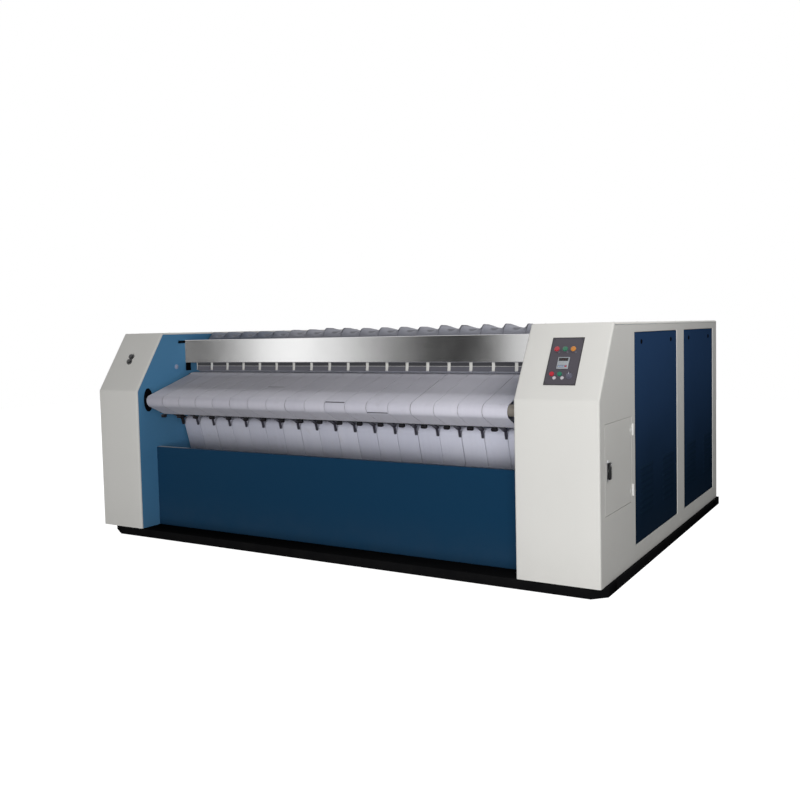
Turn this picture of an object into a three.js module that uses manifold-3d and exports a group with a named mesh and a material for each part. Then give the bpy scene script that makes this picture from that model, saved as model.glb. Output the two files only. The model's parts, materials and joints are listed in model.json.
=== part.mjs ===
// Flatwork ironer: two heated drums, endless ironing belts and a belt feed table between
// two side cabinets. Millimetres, +X right, +Y back, +Z up. Sizes below are measured from
// the middle of the opening between the side frames, the front face of the cabinets and
// the floor; the machine is then moved so that the origin is under its middle.
import * as THREE from 'three';
import { mergeVertices } from 'three/addons/utils/BufferGeometryUtils.js';
import Module from 'manifold-3d';

const wasm = await Module();
wasm.setup();

// ---------------------------------------------------------------- driving dimensions

// Cabinets
const openingWidth = 3200;
const leftCabinetWidth = 430;
const rightCabinetWidth = 530;
const cabinetDepth = 3160;
const cabinetHeight = 1605;
const kneeDrop = 451;
const kneeHeight = cabinetHeight - kneeDrop;
const slopeSetback = 293;
const coverSheet = 2;
const coverFlange = 22;
const coverSeam = 1.5;
const frameThickness = 12;

// Clearances
const fit = 0.3;
const panelGap = 2.5;
const beltGap = 1.5;
const wrapClearance = 0.3;
const nipSlack = 0.5;

// Plinth
const baseHeight = 63;
const baseWall = 6;
const beamWidth = 240;
const crossBeamWidth = 160;
const baseFrontInset = 2;
const baseSideInset = 17;
const baseRightProud = 18;
const baseInnerOverhang = 40;
const rightChamfer = { x: 80, y: 85 };
const leftChamfer = { x: 170, y: 110 };

// Openings in the side covers
const returnDepth = 20;
const lipWidth = 14;
const louvreFlange = 12;
const slotWidth = 292;
const slotHeight = 9;
const slotPitch = 42;
const slotCount = 8;
const slotBottom = 350;
const knobRadius = 13;
const knobHeight = 7;
const knobDrop = 62;
const knobInset = 165;

// Electrical door
const doorOpening = { y0: 90, y1: 622, z0: 468, z1: kneeHeight - 142 };
const doorFlange = 15;
const hingeCentres = { lower: doorOpening.z0 + 76, upper: doorOpening.z1 - 84 };
const hingeLength = 72;
const hingeBarrel = 7;
const hingePin = 3;
const hingeLeafWidth = 34;
const hingeLeafSheet = 2;
const latch = { y: 150, z: doorOpening.z1 - 278, length: 102, width: 26, height: 16, stem: 8 };
const latchStandoff = 4;
const camLength = 60;
const camWidth = 22;
const camSheet = 3;
const camClearance = 1;

// Louvre panels, set by the door, the depth and the height
const doorToLouvre = 75;
const louvreBottom = 170;
const louvreTop = cabinetHeight - 65;
const louvrePost = { front: 1779 / 3160, rear: 1985 / 3160 };
const louvreRearInset = 162;
const louvreRanges = [
  { y0: doorOpening.y1 + doorToLouvre, y1: louvrePost.front * cabinetDepth },
  { y0: louvrePost.rear * cabinetDepth, y1: cabinetDepth - louvreRearInset }];
const slotCentres = [
  { front: louvreRanges[0].y0 + 278, rear: louvreRanges[0].y1 - 247 },
  { front: louvreRanges[1].y0 + 243, rear: louvreRanges[1].y1 - 188 }];

// Control plate and its devices; v runs up the slope from the knee
const controlPlate = { x0: 1769, x1: 1969, v0: 102, v1: 432, thickness: 3, corner: 4 };
const lampRow = { v: 348, x: [1811, 1863, 1914] };
const buttonRow = { v: 173, x: [1813, 1862] };
const speedKnob = { x: 1921, v: 164, radius: 21, height: 20 };
const controller = { x: 1868, v: 251, width: 72, height: 80, bezel: 7, depth: 70, border: 3 };
const deviceRadius = 15;
const lampHeight = 12;
const buttonHeight = 13;
const buttonTravel = 4;
const buttonClearance = 1.5;
const stemRadius = 9;
const stemReach = 22;
const leftButtons = { x: -1821, v: [265, 311], radius: 21 };

// Panels between the cabinets
const frontPanel = { y: 191, top: 694, flange: 40 };
const depthShare = cabinetDepth / 3160;
const fasciaPanel = {
  y: 545 * depthShare, bottom: cabinetHeight - 251, top: cabinetHeight - 64, topFlange: 60,
  bottomFlange: 30 };
const rearPanel = { inset: 22, top: cabinetHeight - 275, flange: 30 };

// Drums
const drumRadius = 400;
const drumWall = 10;
const drumEndGap = 40;
const drumHead = 25;
const drumHeight = cabinetHeight - 605;
const frontDrumY = 1040 * depthShare;
const rearDrumY = 2260 * depthShare;
const drumJournal = 80;
const drumJournalBore = 55;
const journalClearance = 4;
const bearingWidth = 290;
const bearingCorner = 40;
const bearingPlate = 24;
const bearingHub = 125;
const bearingDepth = 70;
const journalTail = 12;

// Rollers: centre, radius
const noseRoller = { y: 115, z: kneeHeight - 78, r: 38 };
const feedRearRoller = { y: 600 * depthShare, z: drumHeight + 232, r: 35 };
const outletRoller = { y: 545 * depthShare, z: drumHeight - 138, r: 45 };
const lowerFrontRoller = { y: 690 * depthShare, z: 350, r: 45 };
const lowerRearRoller = { y: cabinetDepth - 310, z: 350, r: 45 };
const topRearRoller = { y: cabinetDepth - 310, z: cabinetHeight - 80, r: 60 };
const topFrontRoller = { y: 885 * depthShare, z: cabinetHeight - 110, r: 90 };
const nipRollerRadius = 40;
const nipAngle = 136;
const rollerWall = 5;
const rollerEndGap = 16;
const rollerJournal = 20;
const rollerBore = 8;
const rollerTail = 18;
const noseJournal = 25;
const noseEndGap = 22;
const noseFlange = { radius: 92, thickness: 14 };

// Belts
const beltSideRoom = 100;
const lanePitch = 172;
const laneCount = Math.floor((openingWidth - beltSideRoom) / lanePitch);
const feedBelt = { count: laneCount, pitch: lanePitch, centre: -17, thickness: 4 };
const ironingBelt = { count: laneCount, pitch: lanePitch, centre: -38, thickness: 6 };
const laneGap = 8;
const laneDepth = 2;
const ridgeHeight = 26;
const ridgeWidth = 64;
const ridgeReach = 320;
const ridgeShares = [1, 0.9, 0.55, 0];
const ridgeSink = 1;

// Stripper comb: the bar that the feed belts return round, and behind it the rod with the arms
const returnBar = { y: 250, z: noseRoller.z - 100, r: 16 };
const combRod = { y: returnBar.y + 80, z: returnBar.z - 4, r: 9 };
const combLink = { width: 8, height: 18 };
const combArm = {
  width: 7, thickness: 6, shift: -11, elbowY: returnBar.y + 30, z: returnBar.z - 37,
  headY: returnBar.y - 4, headWidth: 34, headDepth: 30, headHeight: 24 };
const combFinger = {
  width: 18, thickness: 6,
  kneeY: outletRoller.y - 83, kneeZ: outletRoller.z + 56,
  tipY: outletRoller.y - 71, tipZ: outletRoller.z - 14 };

// Drive in the left cabinet
const pulleyWidth = 60;
const drumPulleyRadius = 160;
const motorPulleyRadius = 60;
const driveBeltWidth = 50;
const driveBeltThickness = 12;
const motor = {
  y: frontDrumY + 480, z: 330, radius: 80, length: 250, gearSize: 210, gearLength: 170,
  shaft: 20 };
const motorFoot = 26;

// Tie beam between the drums and the electrical plate in the right cabinet
const tieBeam = {
  y: (frontDrumY + rearDrumY) / 2, z: drumHeight, width: 120, height: 160, wall: 8 };
const wiringPlate = {
  y0: doorOpening.y0 + 40, y1: doorOpening.y1 - 32, z0: doorOpening.z0 + 32,
  z1: doorOpening.z1 - 32, standoff: 45, thickness: 3, post: 9 };

// Facets
const drumFacets = 36;
const bearingFacets = 24;
const rollerFacets = 14;
const noseFacets = 24;
const smallFacets = 12;

// ---------------------------------------------------------------- solids

function outward(geometry) {
  const index = geometry.index.array;
  const place = geometry.attributes.position;
  const corners = [new THREE.Vector3(), new THREE.Vector3(), new THREE.Vector3()];
  let volume = 0;
  for (let i = 0; i < index.length; i += 3) {
    corners.forEach((corner, k) => corner.fromBufferAttribute(place, index[i + k]));
    volume += corners[0].dot(corners[1].cross(corners[2]));
  }
  if (volume < 0) {
    for (let i = 0; i < index.length; i += 3) {
      [index[i + 1], index[i + 2]] = [index[i + 2], index[i + 1]];
    }
  }
  return geometry;
}

function tidyMesh(geometry) {
  const bare = geometry.clone();
  bare.deleteAttribute('normal');
  bare.deleteAttribute('uv');
  const merged = mergeVertices(bare, 1e-4);
  const kept = [];
  const index = merged.index.array;
  for (let i = 0; i < index.length; i += 3) {
    const [a, b, c] = [index[i], index[i + 1], index[i + 2]];
    if (a !== b && b !== c && c !== a) kept.push(a, b, c);
  }
  merged.setIndex(kept);
  return outward(merged);
}

function toSolid(geometry) {
  const mesh = tidyMesh(geometry);
  return new wasm.Manifold(new wasm.Mesh({
    numProp: 3,
    vertProperties: new Float32Array(mesh.attributes.position.array),
    triVerts: new Uint32Array(mesh.index.array),
  }));
}

function toGeometry(body) {
  const mesh = body.getMesh();
  const geometry = new THREE.BufferGeometry();
  geometry.setAttribute('position', new THREE.BufferAttribute(mesh.vertProperties, 3));
  geometry.setIndex(new THREE.BufferAttribute(mesh.triVerts, 1));
  geometry.computeVertexNormals();
  return geometry;
}

function join(...pieces) {
  return toGeometry(pieces.map(toSolid).reduce((whole, piece) => whole.add(piece)));
}

function cut(piece, tools) {
  return toGeometry(tools.map(toSolid).reduce((whole, tool) => whole.subtract(tool), toSolid(piece)));
}

function block(x0, x1, y0, y1, z0, z1) {
  const geometry = new THREE.BoxGeometry(Math.abs(x1 - x0), y1 - y0, z1 - z0);
  return geometry.translate((x0 + x1) / 2, (y0 + y1) / 2, (z0 + z1) / 2);
}

function shapeOf(outline, holes = []) {
  const shape = new THREE.Shape(outline.map(([u, v]) => new THREE.Vector2(u, v)));
  for (const hole of holes) {
    shape.holes.push(new THREE.Path(hole.map(([u, v]) => new THREE.Vector2(u, v))));
  }
  return shape;
}

// An outline in Y and Z, extruded along X.
function prismX(outline, xa, xb, holes = []) {
  const [x0, x1] = [Math.min(xa, xb), Math.max(xa, xb)];
  const geometry = new THREE.ExtrudeGeometry(shapeOf(outline, holes), { depth: x1 - x0, bevelEnabled: false });
  const turn = new THREE.Matrix4().makeBasis(
    new THREE.Vector3(0, 1, 0), new THREE.Vector3(0, 0, 1), new THREE.Vector3(1, 0, 0));
  return geometry.applyMatrix4(turn).translate(x0, 0, 0);
}

// An outline in X and Y, extruded along Z.
function prismZ(outline, z0, z1, holes = []) {
  const geometry = new THREE.ExtrudeGeometry(shapeOf(outline, holes), { depth: z1 - z0, bevelEnabled: false });
  return geometry.translate(0, 0, z0);
}

// A profile of [x, radius] points turned about the X axis.
function turnedX(profile, facets) {
  const points = profile.map(([x, radius]) => new THREE.Vector2(radius, x));
  return tidyMesh(new THREE.LatheGeometry(points, facets).rotateZ(-Math.PI / 2));
}

// A profile of [radius, z] points turned about the Z axis.
function turnedZ(profile, facets) {
  const points = profile.map(([radius, z]) => new THREE.Vector2(radius, z));
  return tidyMesh(new THREE.LatheGeometry(points, facets).rotateX(Math.PI / 2));
}

function circle(u, v, radius, facets) {
  return Array.from({ length: facets }, (_, k) => {
    const angle = 2 * Math.PI * k / facets;
    return [u + radius * Math.cos(angle), v + radius * Math.sin(angle)];
  });
}

// A round hole whose flats clear a shaft of this radius.
function boreAround(y, z, shaft, clearance, facets) {
  return circle(y, z, (shaft + clearance) / Math.cos(Math.PI / facets), facets);
}

function rectangle(u0, u1, v0, v1) {
  return [[u0, v0], [u1, v0], [u1, v1], [u0, v1]];
}

function roundedRectangle(u0, u1, v0, v1, corner, steps = 3) {
  const centres = [[u1 - corner, v1 - corner], [u0 + corner, v1 - corner], [u0 + corner, v0 + corner],
    [u1 - corner, v0 + corner]];
  return centres.flatMap(([cu, cv], quarter) => Array.from({ length: steps + 1 }, (_, k) => {
    const angle = Math.PI / 2 * (quarter + k / steps);
    return [cu + corner * Math.cos(angle), cv + corner * Math.sin(angle)];
  }));
}

// A folded sheet: a path in Y and Z with its thickness on the left of the path.
function foldedSheet(path, thickness, x0, x1) {
  const normals = path.slice(1).map(([y, z], k) => {
    const [dy, dz] = [y - path[k][0], z - path[k][1]];
    const length = Math.hypot(dy, dz);
    return [-dz / length, dy / length];
  });
  const offset = path.map(([y, z], k) => {
    const before = normals[Math.max(k - 1, 0)];
    const after = normals[Math.min(k, normals.length - 1)];
    const scale = thickness / (1 + before[0] * after[0] + before[1] * after[1]);
    return [y + (before[0] + after[0]) * scale, z + (before[1] + after[1]) * scale];
  });
  return prismX([...path, ...offset.reverse()], x0, x1);
}

// ---------------------------------------------------------------- materials

function finish(color, roughness, metalness) {
  return new THREE.MeshStandardMaterial({ color, roughness, metalness });
}

const ivoryPaint = finish(0xd6d7d2, 0.45, 0.1);
const navyPaint = finish(0x1b3a5c, 0.4, 0.2);
const panelBlue = finish(0x1a3d60, 0.4, 0.2);
const wallBlue = finish(0x3f6a8c, 0.5, 0.1);
const blackPaint = finish(0x0c0c0e, 0.6, 0.1);
const greySteel = finish(0x84888c, 0.45, 0.8);
const polishedSteel = finish(0xc9cacb, 0.2, 1);
const brightZinc = finish(0xd9dbdd, 0.3, 0.9);
const castIron = finish(0x3a4650, 0.6, 0.5);
const beltCloth = finish(0xc4c4d0, 0.9, 0);
const heatedBelt = finish(0x9a9aa4, 0.9, 0);
const blackPlastic = finish(0x141416, 0.5, 0);
const greyPlastic = finish(0x8d9296, 0.5, 0);
const redPlastic = finish(0xb3202a, 0.35, 0);
const greenPlastic = finish(0x1f8a4c, 0.35, 0);
const amberPlastic = finish(0xd07a20, 0.35, 0);

const ironer = new THREE.Group();
const machine = new THREE.Group();
ironer.add(machine);

function add(name, geometry, material, parent = machine) {
  const mesh = new THREE.Mesh(geometry, material);
  mesh.name = name;
  parent.add(mesh);
  return mesh;
}

function addAt(name, geometry, material, y, z) {
  const mesh = add(name, geometry, material);
  mesh.position.set(0, y, z);
  return mesh;
}

// ---------------------------------------------------------------- shared places

const wallX = openingWidth / 2;
const cabinetFoot = baseHeight + fit;
const louvreSeat = coverSheet + fit - returnDepth;
const louvreFace = louvreSeat + louvreFlange + coverSheet;
const slopeLength = Math.hypot(slopeSetback, cabinetHeight - kneeHeight);
const slope = { y: slopeSetback / slopeLength, z: (cabinetHeight - kneeHeight) / slopeLength };
const leftOuter = -wallX - leftCabinetWidth;
const rightOuter = wallX + rightCabinetWidth;

// The cabinet's side outline, moved inwards by a distance at the front, slope, top and back.
function frontLine(inset) {
  const kneeZ = kneeHeight - inset * slope.y + (inset - inset * slope.z) / slope.y * slope.z;
  const reach = (cabinetHeight - inset - kneeHeight + inset * slope.y) / slope.z;
  return [[inset, kneeZ], [inset * slope.z + reach * slope.y, cabinetHeight - inset]];
}

function cabinetOutline(inset, foot = cabinetFoot) {
  const back = cabinetDepth - inset;
  return [[inset, foot], [back, foot], [back, cabinetHeight - inset], ...frontLine(inset).reverse()];
}

// The height of a line parallel to the slope, at the setback where the top cover starts.
function slopeEndHeight(inset) {
  const [knee] = frontLine(inset);
  return knee[1] + (slopeSetback - inset) * slope.z / slope.y;
}

const drums = {
  front: { y: frontDrumY, z: drumHeight, r: drumRadius },
  rear: { y: rearDrumY, z: drumHeight, r: drumRadius },
};
const nipDistance = drumRadius + nipRollerRadius + 2 * beltGap + ironingBelt.thickness + nipSlack;
const nipTurn = THREE.MathUtils.degToRad(nipAngle);
const nipRoller = {
  y: drums.front.y + nipDistance * Math.cos(nipTurn),
  z: drums.front.z + nipDistance * Math.sin(nipTurn),
  r: nipRollerRadius,
};
const plainRollers = {
  feed_rear_roller: feedRearRoller,
  nip_roller: nipRoller,
  top_front_roller: topFrontRoller,
  top_rear_roller: topRearRoller,
  lower_rear_roller: lowerRearRoller,
  lower_front_roller: lowerFrontRoller,
  outlet_roller: outletRoller,
};

// ---------------------------------------------------------------- plinth

function channelX(x0, x1, y0, y1, outline) {
  const pocket = block(x0 - 1, x1 + 1, y0 + baseWall, y1 + 1, baseWall, baseHeight - baseWall);
  return cut(prismZ(outline, 0, baseHeight), [pocket]);
}

function addPlinth() {
  const left = leftOuter + baseSideInset;
  const right = rightOuter + baseRightProud;
  const front = baseFrontInset;
  const frontBack = front + beamWidth;
  const rearFront = cabinetDepth - baseFrontInset - beamWidth;
  const rear = cabinetDepth - baseFrontInset;
  const frontOutline = [
    [left + leftChamfer.x, front], [right - rightChamfer.x, front], [right, front + rightChamfer.y],
    [right, frontBack], [left, frontBack], [left, front + leftChamfer.y]];
  const pocket = block(left + leftChamfer.x, right - rightChamfer.x, front + baseWall, frontBack + 1,
    baseWall, baseHeight - baseWall);
  add('base_front_beam', cut(prismZ(frontOutline, 0, baseHeight), [pocket]), blackPaint);

  const rearBeam = block(left, right, rearFront, rear, 0, baseHeight);
  const rearPocket = block(left - 1, right + 1, rearFront - 1, rear - baseWall, baseWall,
    baseHeight - baseWall);
  add('base_rear_beam', cut(rearBeam, [rearPocket]), blackPaint);

  const railFront = frontBack + fit;
  const railBack = rearFront - fit;
  const inner = wallX - baseInnerOverhang;
  const rails = [['base_left_rail', -1, -left], ['base_right_rail', 1, right]];
  for (const [name, side, outer] of rails) {
    const rail = block(side * inner, side * outer, railFront, railBack, 0, baseHeight);
    const gap = block(side * (inner - 1), side * (outer - baseWall), railFront - 1, railBack + 1,
      baseWall, baseHeight - baseWall);
    add(name, cut(rail, [gap]), blackPaint);
  }

  const half = inner - fit;
  const crossFront = tieBeam.y - crossBeamWidth / 2;
  const crossBack = tieBeam.y + crossBeamWidth / 2;
  const crossOutline = rectangle(-half, half, crossFront, crossBack);
  add('base_cross_beam', channelX(-half, half, crossFront, crossBack, crossOutline), blackPaint);
}

// ---------------------------------------------------------------- side frames and cabinets

function addSideFrame(name, side) {
  const shafts = Object.values(plainRollers)
    .map((roller) => boreAround(roller.y, roller.z, rollerJournal, fit, rollerFacets));
  shafts.push(boreAround(noseRoller.y, noseRoller.z, noseJournal, fit, noseFacets));
  for (const drum of Object.values(drums)) {
    shafts.push(boreAround(drum.y, drum.z, drumJournal, journalClearance, bearingFacets));
  }
  const outline = cabinetOutline(coverSheet + fit);
  add(name, prismX(outline, side * wallX, side * (wallX + frameThickness), shafts), wallBlue);
}

function flangeRanges(side, width) {
  const inner = wallX + frameThickness + fit;
  const outer = wallX + width - coverSheet - fit;
  return [[side * inner, side * (inner + coverSheet)], [side * (outer - coverSheet), side * outer]];
}

function addFrontCover(name, side, width, holes) {
  const [knee] = frontLine(0);
  const [innerKnee] = frontLine(coverSheet);
  const [flangeKnee] = frontLine(coverFlange);
  const skin = [
    [0, cabinetFoot], [coverSheet, cabinetFoot], innerKnee, [slopeSetback, slopeEndHeight(coverSheet)],
    [slopeSetback, cabinetHeight], knee];
  const band = [
    [0, cabinetFoot], [coverFlange, cabinetFoot], flangeKnee, [slopeSetback, slopeEndHeight(coverFlange)],
    [slopeSetback, cabinetHeight], knee];
  const bands = flangeRanges(side, width).map(([xa, xb]) => prismX(band, xa, xb));
  const outer = side * (wallX + width - coverSheet - fit);
  const cover = join(prismX(skin, side * wallX, outer), ...bands);
  add(name, holes.length ? cut(cover, holes) : cover, ivoryPaint);
}

function addTopCover(name, side, width) {
  const y0 = slopeSetback + coverSeam;
  const y1 = cabinetDepth - coverSheet - fit;
  const outer = side * (wallX + width - coverSheet - fit);
  const skin = block(side * wallX, outer, y0, y1, cabinetHeight - coverSheet, cabinetHeight);
  const bands = flangeRanges(side, width)
    .map(([xa, xb]) => block(xa, xb, y0, y1, cabinetHeight - coverFlange, cabinetHeight));
  add(name, join(skin, ...bands), ivoryPaint);
}

function addRearCover(name, side, width) {
  const y0 = cabinetDepth - coverSheet;
  const outer = side * (wallX + width - coverSheet - fit);
  const bandTop = cabinetHeight - coverFlange - coverSeam;
  const skin = block(side * wallX, outer, y0, cabinetDepth, cabinetFoot, cabinetHeight);
  const bands = flangeRanges(side, width)
    .map(([xa, xb]) => block(xa, xb, cabinetDepth - coverFlange, cabinetDepth, cabinetFoot, bandTop));
  add(name, join(skin, ...bands), ivoryPaint);
}

// A hole in a side cover, its folded edge and the lip behind it that a panel rests on.
function returnFrame(side, outer, hole) {
  const grown = rectangle(hole.y0 - coverSheet, hole.y1 + coverSheet, hole.z0 - coverSheet,
    hole.z1 + coverSheet);
  const edge = rectangle(hole.y0, hole.y1, hole.z0, hole.z1);
  const lip = rectangle(hole.y0 + lipWidth, hole.y1 - lipWidth, hole.z0 + lipWidth, hole.z1 - lipWidth);
  const back = outer - returnDepth;
  return [
    prismX(grown, side * back, side * outer, [edge]),
    prismX(grown, side * back, side * (back + coverSheet), [lip]),
  ];
}

function addSideCover(name, side, width, holes) {
  const outer = wallX + width;
  const windows = holes.map((hole) => block(side * (outer - returnDepth), side * (outer + 1), hole.y0,
    hole.y1, hole.z0, hole.z1));
  const sheet = prismX(cabinetOutline(0), side * (outer - coverSheet), side * outer);
  const skin = cut(sheet, windows);
  const frames = holes.flatMap((hole) => returnFrame(side, outer, hole));
  add(name, join(skin, ...frames), ivoryPaint);
}

function addLouvrePanel(name, side, width, hole, centres) {
  const outer = wallX + width;
  const face = { y0: hole.y0 + panelGap, y1: hole.y1 - panelGap, z0: hole.z0 + panelGap,
    z1: hole.z1 - panelGap };
  const slots = Object.values(centres).flatMap((centre) => Array.from({ length: slotCount }, (_, k) => {
    const foot = slotBottom + k * slotPitch;
    return block(side * (outer - returnDepth), side * (outer + 1), centre - slotWidth / 2,
      centre + slotWidth / 2, foot, foot + slotHeight);
  }));
  const outline = rectangle(face.y0, face.y1, face.z0, face.z1);
  const inside = rectangle(face.y0 + coverSheet, face.y1 - coverSheet, face.z0 + coverSheet,
    face.z1 - coverSheet);
  const back = outer + louvreSeat;
  const skinBack = outer + louvreFace - coverSheet;
  const skin = cut(prismX(outline, side * skinBack, side * (skinBack + coverSheet)), slots);
  const flange = prismX(outline, side * back, side * (skinBack + coverSheet), [inside]);
  const knobs = [face.y0 + knobInset, face.y1 - knobInset].map((y) => {
    const foot = skinBack + coverSheet / 2;
    return prismX(circle(y, face.z1 - knobDrop, knobRadius, smallFacets), side * foot,
      side * (foot + knobHeight));
  });
  add(name, join(skin, flange, ...knobs), navyPaint);
}

function addCabinet(label, side, width, doors, slopeHoles) {
  const louvres = louvreRanges.map((range) => ({ ...range, z0: louvreBottom, z1: louvreTop }));
  addSideFrame(`${label}_side_frame`, side);
  addFrontCover(`${label}_front_cover`, side, width, slopeHoles);
  addTopCover(`${label}_top_cover`, side, width);
  addRearCover(`${label}_rear_cover`, side, width);
  addSideCover(`${label}_side_cover`, side, width, [...louvres, ...doors]);
  addLouvrePanel(`${label}_front_louvre_panel`, side, width, louvres[0], slotCentres[0]);
  addLouvrePanel(`${label}_rear_louvre_panel`, side, width, louvres[1], slotCentres[1]);
}

// ---------------------------------------------------------------- controls on the slopes

// Local axes on a slope: X right, Y up the slope, Z out of the cover.
const slopeTurn = Math.atan2(slope.z, slope.y);

function slopeGroup() {
  const group = new THREE.Group();
  group.position.set(0, 0, kneeHeight);
  group.rotation.x = slopeTurn;
  machine.add(group);
  return group;
}

function onSlope(geometry) {
  return geometry.applyMatrix4(new THREE.Matrix4().makeRotationX(slopeTurn).setPosition(0, 0, kneeHeight));
}

function stemHole(x, v, back, front) {
  const radius = (stemRadius + fit) / Math.cos(Math.PI / smallFacets);
  return turnedZ([[0, back], [radius, back], [radius, front], [0, front]], smallFacets).translate(x, v, 0);
}

const controllerBody = {
  x0: controller.x - controller.width / 2 + controller.border,
  x1: controller.x + controller.width / 2 - controller.border,
  v0: controller.v - controller.height / 2 + controller.border,
  v1: controller.v + controller.height / 2 - controller.border,
};

const plateDevices = [
  ...lampRow.x.map((x) => [x, lampRow.v]),
  ...buttonRow.x.map((x) => [x, buttonRow.v]),
  [speedKnob.x, speedKnob.v],
];

function controllerHole(back, front) {
  return block(controllerBody.x0 - fit, controllerBody.x1 + fit, controllerBody.v0 - fit,
    controllerBody.v1 + fit, back, front);
}

function rightSlopeHoles() {
  const deep = stemReach + coverFlange;
  const round = plateDevices.map(([x, v]) => onSlope(stemHole(x, v, -deep, coverSheet)));
  return [...round, onSlope(controllerHole(-deep, coverSheet))];
}

function leftSlopeHoles() {
  return leftButtons.v.map((v) => onSlope(stemHole(leftButtons.x, v, -stemReach, coverSheet)));
}

// A device with a round head and a stem through the plate and the cover.
function stemmedDevice(headFoot, headTop, headRadius, tipRadius) {
  return turnedZ([
    [0, -stemReach], [stemRadius, -stemReach], [stemRadius, headFoot], [headRadius, headFoot],
    [headRadius, headTop - (headRadius - tipRadius)], [tipRadius, headTop], [0, headTop]], smallFacets);
}

function addControls() {
  const group = slopeGroup();
  const plateFront = fit + controlPlate.thickness;
  const outline = roundedRectangle(controlPlate.x0, controlPlate.x1, controlPlate.v0, controlPlate.v1,
    controlPlate.corner);
  const plate = prismZ(outline, fit, plateFront);
  const holes = plateDevices.map(([x, v]) => stemHole(x, v, 0, plateFront + 1));
  add('control_plate', cut(plate, [...holes, controllerHole(0, plateFront + 1)]), blackPlastic, group);

  const place = (name, geometry, material, x, v) => {
    add(name, geometry, material, group).position.set(x, v, 0);
  };
  const lamp = () => stemmedDevice(plateFront + fit, plateFront + lampHeight, deviceRadius, deviceRadius - 4);
  place('red_lamp', lamp(), redPlastic, lampRow.x[0], lampRow.v);
  place('green_lamp', lamp(), greenPlastic, lampRow.x[1], lampRow.v);
  place('amber_lamp', lamp(), amberPlastic, lampRow.x[2], lampRow.v);

  const buttonFoot = plateFront + buttonTravel + buttonClearance;
  const button = () => stemmedDevice(buttonFoot, plateFront + buttonHeight, deviceRadius, deviceRadius - 2);
  place('stop_button', button(), redPlastic, buttonRow.x[0], buttonRow.v);
  place('start_button', button(), greenPlastic, buttonRow.x[1], buttonRow.v);

  const grip = stemmedDevice(plateFront + fit, plateFront + speedKnob.height, speedKnob.radius,
    speedKnob.radius - 3);
  const pointer = block(-2, 2, 0, speedKnob.radius + 2, plateFront + 1, plateFront + speedKnob.height - 4);
  place('speed_knob', join(grip, pointer), greyPlastic, speedKnob.x, speedKnob.v);

  const bezel = block(-controller.width / 2, controller.width / 2, -controller.height / 2,
    controller.height / 2, plateFront + fit, plateFront + fit + controller.bezel);
  const body = block(-controller.width / 2 + controller.border, controller.width / 2 - controller.border,
    -controller.height / 2 + controller.border, controller.height / 2 - controller.border,
    -controller.depth, plateFront + fit + controller.bezel / 2);
  place('temperature_controller', join(bezel, body), greyPlastic, controller.x, controller.v);

  const leftFoot = buttonTravel + buttonClearance;
  const names = ['left_lower_button', 'left_upper_button'];
  leftButtons.v.forEach((v, k) => {
    const cap = stemmedDevice(leftFoot, leftFoot + buttonHeight, leftButtons.radius, leftButtons.radius - 3);
    place(names[k], cap, blackPlastic, leftButtons.x, v);
  });
}

// ---------------------------------------------------------------- electrical door

const hingeAxis = { x: rightOuter + fit + hingeBarrel, y: doorOpening.y1 };

function knuckle(z0, z1, boreRadius) {
  const outline = circle(hingeAxis.x, hingeAxis.y, hingeBarrel, smallFacets);
  const holes = boreRadius ? [circle(hingeAxis.x, hingeAxis.y, boreRadius, smallFacets)] : [];
  return prismZ(outline, z0, z1, holes);
}

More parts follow.
